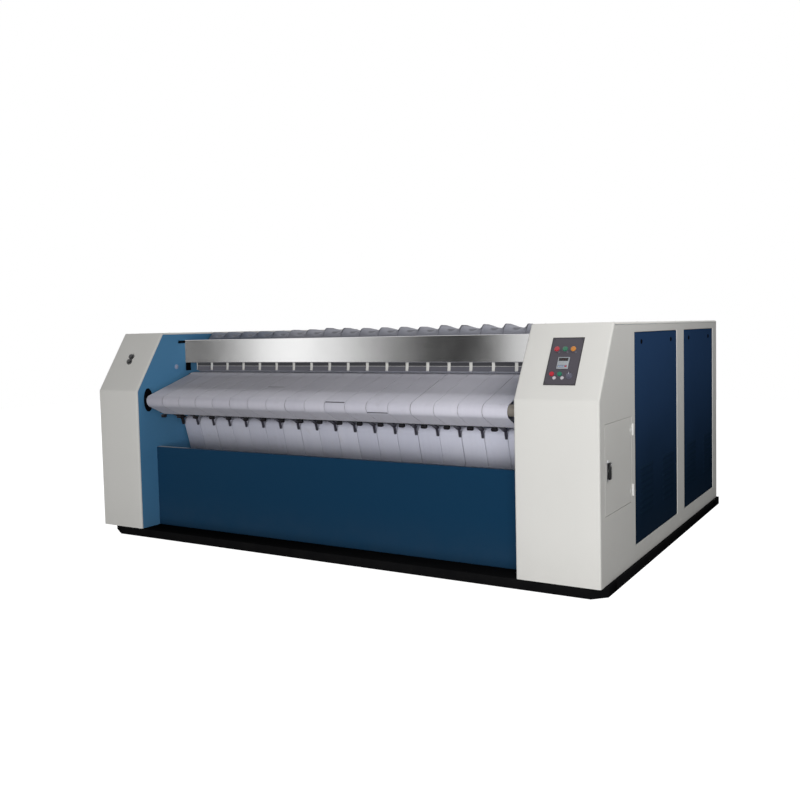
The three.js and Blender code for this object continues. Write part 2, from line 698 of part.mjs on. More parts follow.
function addDoor() {
  const face = { y0: doorOpening.y0 + panelGap, y1: doorOpening.y1 - panelGap, z0: doorOpening.z0 + panelGap,
    z1: doorOpening.z1 - panelGap };
  const outline = rectangle(face.y0, face.y1, face.z0, face.z1);
  const inside = rectangle(face.y0 + coverSheet, face.y1 - coverSheet, face.z0 + coverSheet,
    face.z1 - coverSheet);
  const stemBore = boreAround(latch.y, latch.z, latch.stem, fit, smallFacets);
  const skin = prismX(outline, rightOuter - coverSheet, rightOuter, [stemBore]);
  const flange = prismX(outline, rightOuter - doorFlange, rightOuter, [inside]);
  const third = hingeLength / 3;
  const leaves = Object.values(hingeCentres).flatMap((z) => {
    const z0 = z - third / 2 + fit;
    const z1 = z + third / 2 - fit;
    const leaf = block(rightOuter - coverSheet / 2, rightOuter + hingeLeafSheet, face.y1 - hingeLeafWidth,
      face.y1, z0, z1);
    const bridge = block(rightOuter, hingeAxis.x, hingeAxis.y - hingeBarrel, hingeAxis.y - hingePin - 2,
      z0, z1);
    const strap = block(rightOuter, rightOuter + hingeLeafSheet, face.y1 - hingeLeafWidth,
      hingeAxis.y - hingePin - 2, z0, z1);
    const bore = (hingePin + fit) / Math.cos(Math.PI / smallFacets);
    return [leaf, strap, bridge, knuckle(z0, z1, bore)];
  });
  add('electrical_door', join(skin, flange, ...leaves), ivoryPaint);

  for (const [level, z] of Object.entries(hingeCentres)) {
    const ends = [[z - hingeLength / 2, z - third / 2], [z + third / 2, z + hingeLength / 2]];
    const pieces = ends.flatMap(([z0, z1]) => [
      knuckle(z0, z1),
      block(rightOuter + fit, hingeAxis.x, hingeAxis.y, hingeAxis.y + hingeBarrel - 1, z0, z1),
    ]);
    const leaf = block(rightOuter + fit, rightOuter + fit + hingeLeafSheet, hingeAxis.y + hingeBarrel - 2,
      hingeAxis.y + hingeLeafWidth, z - hingeLength / 2, z + hingeLength / 2);
    const pin = prismZ(circle(hingeAxis.x, hingeAxis.y, hingePin, smallFacets),
      z - hingeLength / 2 + 1, z + hingeLength / 2 - 1);
    add(`door_hinge_${level}`, join(leaf, pin, ...pieces), brightZinc);
  }

  const handleBack = rightOuter + latchStandoff;
  const camFront = rightOuter - returnDepth - camClearance;
  const handle = prismX(
    roundedRectangle(-latch.width / 2, latch.width / 2, -latch.length / 2, latch.length / 2, 10),
    handleBack, handleBack + latch.height);
  const stem = prismX(circle(0, 0, latch.stem, smallFacets), camFront - camSheet, handleBack + 1);
  const cam = prismX(rectangle(-camWidth / 2, camWidth / 2, -camLength, camWidth / 2),
    camFront - camSheet, camFront);
  addAt('door_latch', join(handle, stem, cam), blackPlastic, latch.y, latch.z);
}

// ---------------------------------------------------------------- panels between the cabinets

function addPanels() {
  const half = wallX - fit;
  const front = frontPanel;
  const frontPath = [
    [front.y + front.flange, cabinetFoot], [front.y, cabinetFoot], [front.y, front.top],
    [front.y + front.flange, front.top]];
  add('front_panel', foldedSheet(frontPath.reverse(), coverSheet, -half, half), panelBlue);

  const fascia = fasciaPanel;
  const fasciaPath = [
    [fascia.y + fascia.topFlange, fascia.top], [fascia.y, fascia.top], [fascia.y, fascia.bottom],
    [fascia.y + fascia.bottomFlange, fascia.bottom]];
  add('fascia_panel', foldedSheet(fasciaPath, coverSheet, -half, half), polishedSteel);

  const back = cabinetDepth - rearPanel.inset;
  const rearPath = [
    [back - rearPanel.flange, cabinetFoot], [back, cabinetFoot], [back, rearPanel.top],
    [back - rearPanel.flange, rearPanel.top]];
  add('rear_panel', foldedSheet(rearPath, coverSheet, -half, half), navyPaint);

  const beam = tieBeam;
  const outline = (inset) => rectangle(beam.y - beam.width / 2 + inset, beam.y + beam.width / 2 - inset,
    beam.z - beam.height / 2 + inset, beam.z + beam.height / 2 - inset);
  add('tie_beam', prismX(outline(0), -half, half, [outline(beam.wall)]), greySteel);
}

// ---------------------------------------------------------------- drums, bearings and rollers

const bearingBack = wallX + frameThickness + fit;
const bearingFront = bearingBack + bearingDepth;
const pulleyInner = bearingFront + journalTail;
const pulleyOuter = pulleyInner + pulleyWidth;

// The drum is a closed shell; its right journal is bored for the heating medium.
function drumProfile(leftEnd) {
  const shell = wallX - drumEndGap;
  const rightEnd = bearingFront + journalTail;
  return [
    [-leftEnd, 0], [-leftEnd, drumJournal], [-shell, drumJournal], [-shell, drumRadius],
    [shell, drumRadius], [shell, drumJournal], [rightEnd, drumJournal], [rightEnd, drumJournalBore],
    [shell - drumHead, drumJournalBore], [shell - drumHead, drumRadius - drumWall],
    [-shell + drumHead, drumRadius - drumWall], [-shell + drumHead, 0]];
}

function addDrums() {
  const pulley = turnedX([
    [-pulleyOuter, drumJournal - 1], [-pulleyOuter, drumPulleyRadius], [-pulleyInner, drumPulleyRadius],
    [-pulleyInner, drumJournal - 1], [-pulleyOuter, drumJournal - 1]], drumFacets);
  const frontDrum = join(turnedX(drumProfile(pulleyOuter), drumFacets), pulley);
  addAt('front_drum', frontDrum, polishedSteel, drums.front.y, drums.front.z);
  const rearDrum = turnedX(drumProfile(bearingFront + journalTail), drumFacets);
  addAt('rear_drum', rearDrum, polishedSteel, drums.rear.y, drums.rear.z);
}

function addBearings() {
  const half = bearingWidth / 2;
  for (const [label, side] of [['left', -1], ['right', 1]]) {
    for (const [row, drum] of Object.entries(drums)) {
      const bore = boreAround(0, 0, drumJournal, fit, bearingFacets);
      const plate = prismX(roundedRectangle(-half, half, -half, half, bearingCorner), side * bearingBack,
        side * (bearingBack + bearingPlate), [bore]);
      const hub = prismX(circle(0, 0, bearingHub, bearingFacets), side * bearingBack,
        side * bearingFront, [bore]);
      addAt(`${label}_${row}_bearing`, join(plate, hub), castIron, drum.y, drum.z);
    }
  }
}

function rollerProfile(radius, shell, journal, end) {
  return [
    [-end, 0], [-end, journal], [-shell, journal], [-shell, radius], [shell, radius], [shell, journal],
    [end, journal], [end, rollerBore], [shell - rollerWall, rollerBore],
    [shell - rollerWall, radius - rollerWall], [-shell + rollerWall, radius - rollerWall],
    [-shell + rollerWall, 0]];
}

function addRollers() {
  const end = wallX + frameThickness + rollerTail;
  for (const [name, roller] of Object.entries(plainRollers)) {
    const profile = rollerProfile(roller.r, wallX - rollerEndGap, rollerJournal, end);
    addAt(name, turnedX(profile, rollerFacets), greySteel, roller.y, roller.z);
  }
  const noseShell = wallX - noseEndGap;
  const noseProfile = rollerProfile(noseRoller.r, noseShell, noseJournal, end);
  addAt('nose_roller', turnedX(noseProfile, noseFacets), greySteel, noseRoller.y, noseRoller.z);
  for (const [label, side] of [['left', -1], ['right', 1]]) {
    const bore = boreAround(0, 0, noseJournal, fit, noseFacets);
    const ring = prismX(circle(0, 0, noseFlange.radius, noseFacets), side * (wallX - fit),
      side * (wallX - fit - noseFlange.thickness), [bore]);
    addAt(`${label}_nose_bearing`, ring, blackPlastic, noseRoller.y, noseRoller.z);
  }
}

// ---------------------------------------------------------------- belts

// The headings of the straight legs between the wheels of a belt. A wheel with turn 1 is
// passed anticlockwise, seen with Y to the right and Z up, and one with turn -1 clockwise.
function legHeadings(wheels, thickness) {
  return wheels.map((a, k) => {
    const b = wheels[(k + 1) % wheels.length];
    const across = (b.turn * (b.r + beltGap + thickness / 2) - a.turn * (a.r + beltGap + thickness / 2));
    const distance = Math.hypot(b.y - a.y, b.z - a.z);
    return Math.atan2(b.z - a.z, b.y - a.y) - Math.asin(across / distance);
  });
}

// The points of one side of the belt round one wheel, at an offset to the left of its middle.
function wrapPoints(wheel, arrive, leave, thickness, offset) {
  const full = 2 * Math.PI;
  const sweep = wheel.turn * (((leave - arrive) * wheel.turn % full + full) % full);
  const step = 2 * Math.acos((wheel.r + wrapClearance) / (wheel.r + beltGap));
  const count = Math.max(1, Math.ceil(Math.abs(sweep) / step));
  const radius = wheel.r + beltGap + thickness / 2 - wheel.turn * offset;
  return Array.from({ length: count + 1 }, (_, k) => {
    const heading = arrive + sweep * k / count;
    return [wheel.y + wheel.turn * radius * Math.sin(heading), wheel.z - wheel.turn * radius * Math.cos(heading)];
  });
}

function beltSide(wheels, thickness, offset) {
  const headings = legHeadings(wheels, thickness);
  return wheels.flatMap((wheel, k) => {
    const arrive = headings[(k + wheels.length - 1) % wheels.length];
    return wrapPoints(wheel, arrive, headings[k], thickness, offset);
  });
}

function beltBand(wheels, thickness, x0, x1) {
  const outer = beltSide(wheels, thickness, -thickness / 2);
  const inner = beltSide(wheels, thickness, thickness / 2);
  return prismX(outer, x0, x1, [inner]);
}

function laneLines(belt) {
  return Array.from({ length: belt.count - 1 }, (_, k) => belt.centre + (k + 1 - belt.count / 2) * belt.pitch);
}

// Grooves between the belts along one straight leg, cut from its outer face.
function laneGrooves(wheels, leg, belt) {
  const headings = legHeadings(wheels, belt.thickness);
  const [a, b] = [wheels[leg], wheels[(leg + 1) % wheels.length]];
  const heading = headings[leg];
  const start = wrapPoints(a, heading, heading, belt.thickness, -belt.thickness / 2)[0];
  const end = wrapPoints(b, heading, heading, belt.thickness, -belt.thickness / 2)[0];
  const away = [Math.sin(heading), -Math.cos(heading)];
  const corner = (point, distance) => [point[0] + away[0] * distance, point[1] + away[1] * distance];
  const outline = [corner(start, -laneDepth), corner(end, -laneDepth), corner(end, 1), corner(start, 1)];
  return laneLines(belt).map((x) => prismX(outline, x - laneGap / 2, x + laneGap / 2));
}

const feedWheels = [
  { ...feedRearRoller, turn: 1 },
  { ...noseRoller, turn: 1 },
  { ...returnBar, turn: 1 },
];
const tableLeg = 0;

const ironingWheels = [
  { ...nipRoller, turn: 1 },
  { ...drums.front, turn: -1 },
  { ...drums.rear, turn: -1 },
  { ...drums.front, turn: -1 },
  { ...outletRoller, turn: 1 },
  { ...lowerFrontRoller, turn: 1 },
  { ...lowerRearRoller, turn: 1 },
  { ...topRearRoller, turn: 1 },
  { ...topFrontRoller, turn: 1 },
];
const stripLeg = 4;

// A raised belt edge: a triangular ridge that grows along the front end of the top run and
// dips over the roller.
function ridge(x, spine) {
  const rows = spine.map(([y, z, ny, nz, share]) => {
    const rise = ridgeHeight * share;
    const foot = [y - ny * ridgeSink, z - nz * ridgeSink];
    return [
      [x - ridgeWidth / 2, ...foot],
      [x + ridgeWidth / 2, ...foot],
      [x, y + ny * rise, z + nz * rise]];
  });
  const positions = rows.flat(2);
  const faces = [0, 1, 2];
  for (let row = 0; row < rows.length - 1; row += 1) {
    for (let k = 0; k < 3; k += 1) {
      const [a, b] = [row * 3 + k, row * 3 + (k + 1) % 3];
      faces.push(a, a + 3, b, b, a + 3, b + 3);
    }
  }
  const last = (rows.length - 1) * 3;
  faces.push(last, last + 2, last + 1);
  const geometry = new THREE.BufferGeometry();
  geometry.setAttribute('position', new THREE.Float32BufferAttribute(positions, 3));
  geometry.setIndex(faces);
  return geometry;
}

function ridgeSpine() {
  const radius = topFrontRoller.r + beltGap + ironingBelt.thickness;
  const flat = topRearRoller.z + topRearRoller.r + beltGap + ironingBelt.thickness;
  const spine = [
    [topFrontRoller.y + ridgeReach, flat, 0, 1, 0],
    [topFrontRoller.y + ridgeReach * 0.4, flat, 0, 1, 0.75]];
  for (let k = 0; k < ridgeShares.length; k += 1) {
    const angle = Math.PI / 2 + Math.PI / 3 * k / (ridgeShares.length - 1);
    const [ny, nz] = [Math.cos(angle), Math.sin(angle)];
    spine.push([topFrontRoller.y + radius * ny, topFrontRoller.z + radius * nz, ny, nz, ridgeShares[k]]);
  }
  return spine;
}

function addBelts() {
  const half = (belt) => belt.count * belt.pitch / 2 - laneGap / 2;
  const ends = (belt) => [belt.centre - half(belt), belt.centre + half(belt)];
  const feed = beltBand(feedWheels, feedBelt.thickness, ...ends(feedBelt));
  add('feed_belts', cut(feed, laneGrooves(feedWheels, tableLeg, feedBelt)), beltCloth);

  const ironing = beltBand(ironingWheels, ironingBelt.thickness, ...ends(ironingBelt));
  const spine = ridgeSpine();
  const ridges = laneLines(ironingBelt).map((x) => ridge(x, spine));
  const grooved = cut(ironing, laneGrooves(ironingWheels, stripLeg, ironingBelt));
  add('ironing_belts', join(grooved, ...ridges), heatedBelt);
}

// ---------------------------------------------------------------- comb, drive and wiring plate

function addComb() {
  const reach = wallX - fit;
  const bars = [returnBar, combRod].map(({ y, z, r }) => prismX(circle(y, z, r, smallFacets), -reach, reach));
  const links = [-reach, reach - combLink.width].map((x) => block(x, x + combLink.width,
    returnBar.y, combRod.y, returnBar.z - combLink.height / 2, returnBar.z + combLink.height / 2));
  const strip = (path, { width, thickness }, x) => foldedSheet(path, -thickness, x - width / 2, x + width / 2);
  const start = [combRod.y, combRod.z];
  const fingerPath = [start, [combFinger.kneeY, combFinger.kneeZ], [combFinger.tipY, combFinger.tipZ]];
  const fingers = laneLines(ironingBelt).map((x) => strip(fingerPath, combFinger, x));
  const { headY, headWidth, headDepth, headHeight } = combArm;
  const armPath = [start, [combArm.elbowY, combArm.z], [headY, combArm.z]];
  const armLines = [feedBelt.centre - feedBelt.count * feedBelt.pitch / 2, ...laneLines(feedBelt)];
  const arms = armLines.flatMap((x) => [
    strip(armPath, combArm, x + combArm.shift),
    block(x - headWidth / 2, x + headWidth / 2, headY - headDepth / 2, headY + headDepth / 2,
      combArm.z - headHeight / 2, combArm.z + headHeight / 2)]);
  add('stripper_comb', join(...bars, ...links, ...fingers, ...arms), blackPaint);
}

function addDrive() {
  const half = motor.gearSize / 2;
  const gearInner = pulleyOuter + journalTail;
  const gearOuter = gearInner + motor.gearLength;
  const box = block(-gearOuter, -gearInner, -half, half, -half, half);
  const can = new THREE.CylinderGeometry(motor.radius, motor.radius, motor.length, bearingFacets)
    .translate(-(gearInner + gearOuter) / 2, half + motor.length / 2 - 1, 0);
  const foot = block(-gearOuter, -gearInner, -half - motorFoot, half + motorFoot,
    baseHeight + fit - motor.z, -half + 1);
  const shaft = prismX(circle(0, 0, motor.shaft, smallFacets), -gearInner - 1, -pulleyInner);
  addAt('drive_motor', join(box, can, foot, shaft), castIron, motor.y, motor.z);

  const bore = boreAround(0, 0, motor.shaft, fit, smallFacets);
  const wheel = prismX(circle(0, 0, motorPulleyRadius, bearingFacets), -pulleyOuter, -pulleyInner,
    [bore]);
  addAt('motor_pulley', wheel, greySteel, motor.y, motor.z);

  const wheels = [
    { ...drums.front, r: drumPulleyRadius, turn: 1 },
    { y: motor.y, z: motor.z, r: motorPulleyRadius, turn: 1 }];
  const middle = -(pulleyInner + pulleyOuter) / 2;
  add('drive_belt', beltBand(wheels, driveBeltThickness, middle - driveBeltWidth / 2,
    middle + driveBeltWidth / 2), blackPaint);
}

function addWiringPlate() {
  const plate = wiringPlate;
  const back = wallX + frameThickness + fit;
  const sheet = prismX(rectangle(plate.y0, plate.y1, plate.z0, plate.z1), back + plate.standoff,
    back + plate.standoff + plate.thickness);
  const inset = 4 * plate.post;
  const posts = [plate.y0 + inset, plate.y1 - inset].flatMap((y) => [plate.z0 + inset, plate.z1 - inset]
    .map((z) => prismX(circle(y, z, plate.post, smallFacets), back, back + plate.standoff + 1)));
  add('electrical_plate', join(sheet, ...posts), brightZinc);
}

// ---------------------------------------------------------------- assembly

addPlinth();
addCabinet('left', -1, leftCabinetWidth, [], leftSlopeHoles());
addCabinet('right', 1, rightCabinetWidth, [doorOpening], rightSlopeHoles());
addControls();
addDoor();
addPanels();
addDrums();
addBearings();
addRollers();
addBelts();
addComb();
addDrive();
addWiringPlate();
const leftReach = leftOuter - (louvreFace - coverSheet / 2 + knobHeight);
const rightReach = rightOuter + latchStandoff + latch.height;
machine.position.set(-(leftReach + rightReach) / 2, -cabinetDepth / 2, 0);

export default ironer;
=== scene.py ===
import json
import math

import bmesh
import bpy
from mathutils import Matrix, Vector

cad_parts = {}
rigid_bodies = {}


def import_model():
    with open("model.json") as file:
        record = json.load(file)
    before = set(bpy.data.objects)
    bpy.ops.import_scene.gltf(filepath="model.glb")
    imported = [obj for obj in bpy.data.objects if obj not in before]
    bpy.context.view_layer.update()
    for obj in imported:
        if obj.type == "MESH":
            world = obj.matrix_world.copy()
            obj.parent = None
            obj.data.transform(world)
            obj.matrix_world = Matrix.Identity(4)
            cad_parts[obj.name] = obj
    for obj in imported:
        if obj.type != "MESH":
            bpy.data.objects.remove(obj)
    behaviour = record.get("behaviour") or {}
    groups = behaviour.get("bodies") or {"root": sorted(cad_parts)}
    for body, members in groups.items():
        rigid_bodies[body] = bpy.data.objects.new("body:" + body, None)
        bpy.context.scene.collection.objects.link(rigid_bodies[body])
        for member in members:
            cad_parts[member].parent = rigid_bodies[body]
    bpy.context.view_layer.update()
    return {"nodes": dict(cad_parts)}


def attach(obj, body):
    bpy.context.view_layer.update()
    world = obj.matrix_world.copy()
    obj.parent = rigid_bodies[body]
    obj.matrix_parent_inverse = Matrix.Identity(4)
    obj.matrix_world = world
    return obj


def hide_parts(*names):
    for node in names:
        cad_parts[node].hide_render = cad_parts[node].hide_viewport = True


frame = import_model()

# Sizes are in millimetres in the machine's own axes: X from the middle of the opening, Y back
# from the front face of the cabinets, Z up from the floor. Meshes, shaders and modifiers are
# in metres, in the frame's axes.
machineOrigin = Vector((58.85, 1580.0, 0.0))
metre = 0.001


def toMetres(point):
    return (Vector(point) - machineOrigin) * metre


def linked(name, data):
    obj = bpy.data.objects.new(name, data)
    bpy.context.scene.collection.objects.link(obj)
    return obj


# ---- camera

view = {"x": 3771.0, "y": -4914.3, "z": 1590.1, "yaw": 0.542, "pitch": 0.059, "roll": -0.023,
        "focalPixels": 892.53, "centreRow": 382.08, "picture": 800, "sensor": 36.0,
        "clip": (0.05, 100.0)}


def addCamera():
    yaw, pitch, roll = view["yaw"], view["pitch"], view["roll"]
    ahead = Vector((-math.sin(yaw) * math.cos(pitch), math.cos(yaw) * math.cos(pitch), -math.sin(pitch)))
    flat = ahead.cross(Vector((0, 0, 1))).normalized()
    lift = flat.cross(ahead)
    right = flat * math.cos(roll) + lift * math.sin(roll)
    up = lift * math.cos(roll) - flat * math.sin(roll)
    data = bpy.data.cameras.new("camera")
    data.sensor_width = view["sensor"]
    data.lens = view["focalPixels"] / view["picture"] * view["sensor"]
    data.shift_y = (view["centreRow"] - view["picture"] / 2) / view["picture"]
    data.clip_start, data.clip_end = view["clip"]
    camera = linked("camera", data)
    turn = Matrix((right, up, -ahead)).transposed().to_4x4()
    camera.matrix_world = Matrix.Translation(toMetres((view["x"], view["y"], view["z"]))) @ turn
    bpy.context.scene.camera = camera


addCamera()
bpy.context.scene.view_settings.view_transform = "Standard"


# ---- shader maths: a socket that takes part in Python expressions

class Wire:
    def __init__(self, finish, socket):
        self.finish, self.socket = finish, socket

    def maths(self, operation, first, second=None, clamp=False):
        values = {0: first} if second is None else {0: first, 1: second}
        return self.finish.add("ShaderNodeMath", {"operation": operation, "use_clamp": clamp}, values)

    def __add__(self, other): return self.maths("ADD", self, other)
    def __radd__(self, other): return self.maths("ADD", other, self)
    def __sub__(self, other): return self.maths("SUBTRACT", self, other)
    def __rsub__(self, other): return self.maths("SUBTRACT", other, self)
    def __mul__(self, other): return self.maths("MULTIPLY", self, other)
    def clamped(self): return self.maths("ADD", self, 0.0, True)
    def fraction(self): return self.maths("FRACT", self)
    def sine(self): return self.maths("SINE", self)


class Finish:
    def __init__(self, name):
        self.material = bpy.data.materials.new(name)
        self.material.use_nodes = True
        self.tree = self.material.node_tree
        self.tree.nodes.clear()
        self.output = self.tree.nodes.new("ShaderNodeOutputMaterial")
        self.shader = self.tree.nodes.new("ShaderNodeBsdfPrincipled")
        self.tree.links.new(self.shader.outputs[0], self.output.inputs["Surface"])

    def add(self, kind, settings=None, values=None, out=0):
        node = self.tree.nodes.new(kind)
        for key, value in (settings or {}).items():
            if key == "stops":
                ramp = node.color_ramp.elements
                while len(ramp) < len(value):
                    ramp.new(0.5)
                for element, (position, colour) in zip(ramp, value):
                    element.position, element.color = position, (*colour, 1.0)
            else:
                setattr(node, key, value)
        for key, value in (values or {}).items():
            self.feed(node, key, value)
        return Wire(self, node.outputs[out])

    def feed(self, node, key, value):
        if isinstance(value, Wire):
            self.tree.links.new(value.socket, node.inputs[key])
        elif isinstance(value, (tuple, list, Vector)) and len(value) == 3 \
                and node.inputs[key].type == "RGBA":
            node.inputs[key].default_value = (*value, 1.0)
        else:
            node.inputs[key].default_value = value

    def surface(self, **values):
        for key, value in values.items():
            self.feed(self.shader, key.replace("_", " "), value)

    def here(self):
        return self.add("ShaderNodeTexCoord", out="Object")

    def axis(self, place, k):
        return self.add("ShaderNodeSeparateXYZ", None, {0: place}, out=k)

    def stretched(self, place, scale):
        return self.add("ShaderNodeMapping", None, {"Vector": place, "Scale": scale})

    def noise(self, place, scale, detail=2.0, rough=0.5):
        return self.add("ShaderNodeTexNoise", None,
                        {"Vector": place, "Scale": scale, "Detail": detail, "Roughness": rough})

    def blend(self, factor, first, second):
        return self.add("ShaderNodeMix", {"data_type": "RGBA"}, {0: factor, 6: first, 7: second}, out=2)

    def between(self, value, low, high):
        return self.add("ShaderNodeMapRange", {"interpolation_type": "SMOOTHSTEP"},
                        {"Value": value, "From Min": low, "From Max": high})

    def bump(self, height, strength, distance):
        values = {"Height": height, "Strength": strength, "Distance": distance}
        self.surface(Normal=self.add("ShaderNodeBump", None, values))


def srgb(red, green, blue):
    def linear(level):
        level /= 255
        return level / 12.92 if level <= 0.04045 else ((level + 0.055) / 1.055) ** 2.4
    return tuple(linear(level) for level in (red, green, blue))


def scaled(colour, share):
    return tuple(level * share for level in colour)


# ---- finishes

dustColour = scaled((0.30, 0.27, 0.22), 0.6)
scorchColour = srgb(150, 134, 112)
# Painted shade with a painted reflection of the blue wall, for the left of the ironing belts' top run.
paintedShadeBlue = srgb(60, 78, 100)


# Paint with a fine orange peel and dust near the floor; deep, if it has one, is a painted shade that the
# colour turns to lower down.
def powderCoat(name, colour, rough=0.42, grain=0.05, soil=0.03, deep=None, shine=0.2):
    finish = Finish(name)
    here = finish.here()
    height = finish.axis(here, 2)
    broad = finish.noise(here, 1.7, 3.0)
    peel = finish.noise(here, 420.0, 1.0)
    dust = finish.noise(here, 9.0, 6.0, 0.65)
    # Painted shade: with deep, the colour is darker towards the bottom.
    if deep:
        shade = finish.blend(finish.between(height + (broad - 0.5) * 0.3, 0.2, 1.55), deep, colour)
    else:
        spread = ((broad - 0.5) * 0.5 + 0.5).clamped()
        shade = finish.blend(spread, scaled(colour, 0.94), scaled(colour, 1.04))
    lowDown = 1 - finish.between(height, 0.03, 0.42)
    grime = (lowDown * dust * soil * 2 + dust * soil * 0.15).clamped()
    finish.surface(Base_Color=finish.blend(grime, shade, dustColour), Specular_IOR_Level=shine,
                   Roughness=rough + (dust - 0.5) * 0.12 + grime * 0.3)
    finish.bump(peel, grain, 0.0006)
    return finish.material


# Metal with fine lines along one axis (0 for X, 2 for Z).
def brushedSteel(name, colour, rough, grain, along=0):
    finish = Finish(name)
    here = finish.here()
    scale = [900.0, 900.0, 900.0]
    scale[along] = 6.0
    lines = finish.noise(finish.stretched(here, scale), 1.0, 3.0, 0.6)
    smear = finish.noise(here, 5.0, 4.0, 0.6)
    finish.surface(Base_Color=finish.blend(smear, scaled(colour, 0.9), scaled(colour, 1.06)), Metallic=1.0,
                   Roughness=rough + (lines - 0.5) * 0.10 + (smear - 0.5) * 0.06)
    finish.bump(lines, grain, 0.0004)
    return finish.material


def castIron(name, colour):
    finish = Finish(name)
    here = finish.here()
    sand = finish.noise(here, 260.0, 4.0, 0.7)
    oil = finish.noise(here, 14.0, 5.0, 0.6)
    finish.surface(Base_Color=finish.blend(oil, colour, scaled(colour, 0.55)), Roughness=0.62 - oil * 0.25)
    finish.bump(sand, 0.35, 0.0015)
    return finish.material


def plastic(name, colour, rough=0.4, grain=0.04):
    finish = Finish(name)
    here = finish.here()
    spread = finish.noise(here, 60.0, 3.0)
    pore = finish.noise(here, 1500.0, 1.0)
    finish.surface(Base_Color=finish.blend(spread, scaled(colour, 0.92), scaled(colour, 1.08)),
                   Roughness=rough + (spread - 0.5) * 0.1)
    finish.bump(pore, grain, 0.0003)
    return finish.material


def rubber(name, colour):
    finish = Finish(name)
    here = finish.here()
    bloom = finish.noise(here, 24.0, 5.0, 0.7)
    finish.surface(Base_Color=finish.blend(bloom, colour, scaled(colour, 1.7)), Roughness=0.72 + bloom * 0.15)
    finish.bump(finish.noise(here, 700.0, 2.0), 0.15, 0.0005)
    return finish.material


# Cloth of a set of belts. The UV map runs across a belt and, in metres, along it; "lane" is the
# belt's number and "raised" how far its edge curls up. The last two arguments are (low, high, share):
# heights in metres between which the cloth is painted darker, a painted shade.
def belting(name, pale, dark, stain, threadPitch, width, scorch=0.0, shade=None, paintedShadow=None):
    finish = Finish(name)
    here = finish.here()
    x, z = finish.axis(here, 0), finish.axis(here, 2)
    chart = finish.add("ShaderNodeUVMap", {"uv_map": "cloth"})
    lane = finish.add("ShaderNodeAttribute", {"attribute_name": "lane"}, out="Fac")
    across, along = finish.axis(chart, 0) * width, finish.axis(chart, 1)
    turns = 2 * math.pi / threadPitch
    weave = (across * turns).sine() * (along * turns).sine() * 0.5 + 0.5
    placed = finish.add("ShaderNodeCombineXYZ", None, {0: across * 30, 1: along * 1.3, 2: lane * 7.3})
    streak = finish.noise(placed, 1.0, 4.0, 0.6)
    marked = finish.add("ShaderNodeCombineXYZ", None, {0: across * 9, 1: along * 7, 2: lane * 3.1})
    patch = finish.noise(marked, 1.0, 5.0, 0.62)
    laneTone = ((lane * 12.9898).sine() * 43.7585).fraction()
    tone = (streak * 0.5 + patch * 0.3 + laneTone * 0.45 - 0.12).clamped()
    stained = (finish.between(patch, 0.55, 0.8) * 0.35).clamped()
    worn = finish.blend(stained, finish.blend(tone, dark, pale), stain)
    if scorch:
        worn = finish.blend((finish.between(streak, 0.5, 0.85) * scorch).clamped(), worn, scorchColour)
    # Painted shade: the belts are darker to the left.
    worn = finish.blend((x * -0.36 + 0.36).clamped() * 0.38, worn, scaled(dark, 0.12))
    # Painted shadow of the fascia: the feed cloth darkens above a given height.
    if paintedShadow:
        low, high, depth = paintedShadow
        worn = finish.blend(finish.between(z, low, high) * depth, worn, scaled(dark, 0.12))
    # Painted shade: the ironing cloth darkens on its top run.
    if shade:
        low, high, least = shade
        worn = finish.blend(finish.between(z, low, high), worn, scaled(pale, least))
        # Painted shade with a painted reflection of the blue wall: the left of the top run turns dark blue.
        far = finish.between(x * -1.0, 0.7, 1.1) * finish.between(z, 1.45, 1.5)
        worn = finish.blend(far * 0.6, worn, paintedShadeBlue)
        # Painted shade: the curled edges darken the higher they rise.
        lifted = finish.add("ShaderNodeAttribute", {"attribute_name": "raised"}, out="Fac")
        worn = finish.blend(finish.between(lifted, 0.10, 0.55), worn, scaled(pale, least * 0.42))
    finish.surface(Base_Color=finish.blend(weave * 0.16, worn, scaled(dark, 0.6)),
                   Roughness=0.86 + (patch - 0.5) * 0.1, Sheen_Weight=0.12, Specular_IOR_Level=0.25)
    finish.bump(weave + patch * 0.6, 0.35, 0.0008)
    return finish.material


def lens(name, colour):
    finish = Finish(name)
    ribs = finish.noise(finish.here(), 900.0, 1.0)
    finish.surface(Base_Color=finish.blend(ribs, scaled(colour, 0.85), colour), Roughness=0.12 + ribs * 0.06,
                   Emission_Color=colour, Emission_Strength=0.04, Coat_Weight=0.6)
    finish.bump(ribs, 0.08, 0.0004)
    return finish.material


ivory = powderCoat("ivory powder coat", srgb(222, 221, 217), 0.46, soil=0.05, shine=0.06)
# Painted shade: the navy turns darker lower down.
navy = powderCoat("navy powder coat", srgb(46, 73, 111), soil=0.02, deep=srgb(22, 39, 58), shine=0.0)
# Painted shade: the hoods take a darker copy of the navy, which is also darker lower down.
hoodShadedNavy = powderCoat("hood navy, painted shade", srgb(36, 58, 87), soil=0.02, deep=srgb(20, 37, 54), shine=0.0)
panelBlue = powderCoat("front panel blue", srgb(19, 56, 84), shine=0.06)
wallBlue = powderCoat("inner wall blue", srgb(84, 140, 182), 0.44, soil=0.05, shine=0.12)
rollerGrey = powderCoat("roller grey", srgb(128, 122, 114))
capGrey = powderCoat("cap grey", srgb(160, 172, 200))
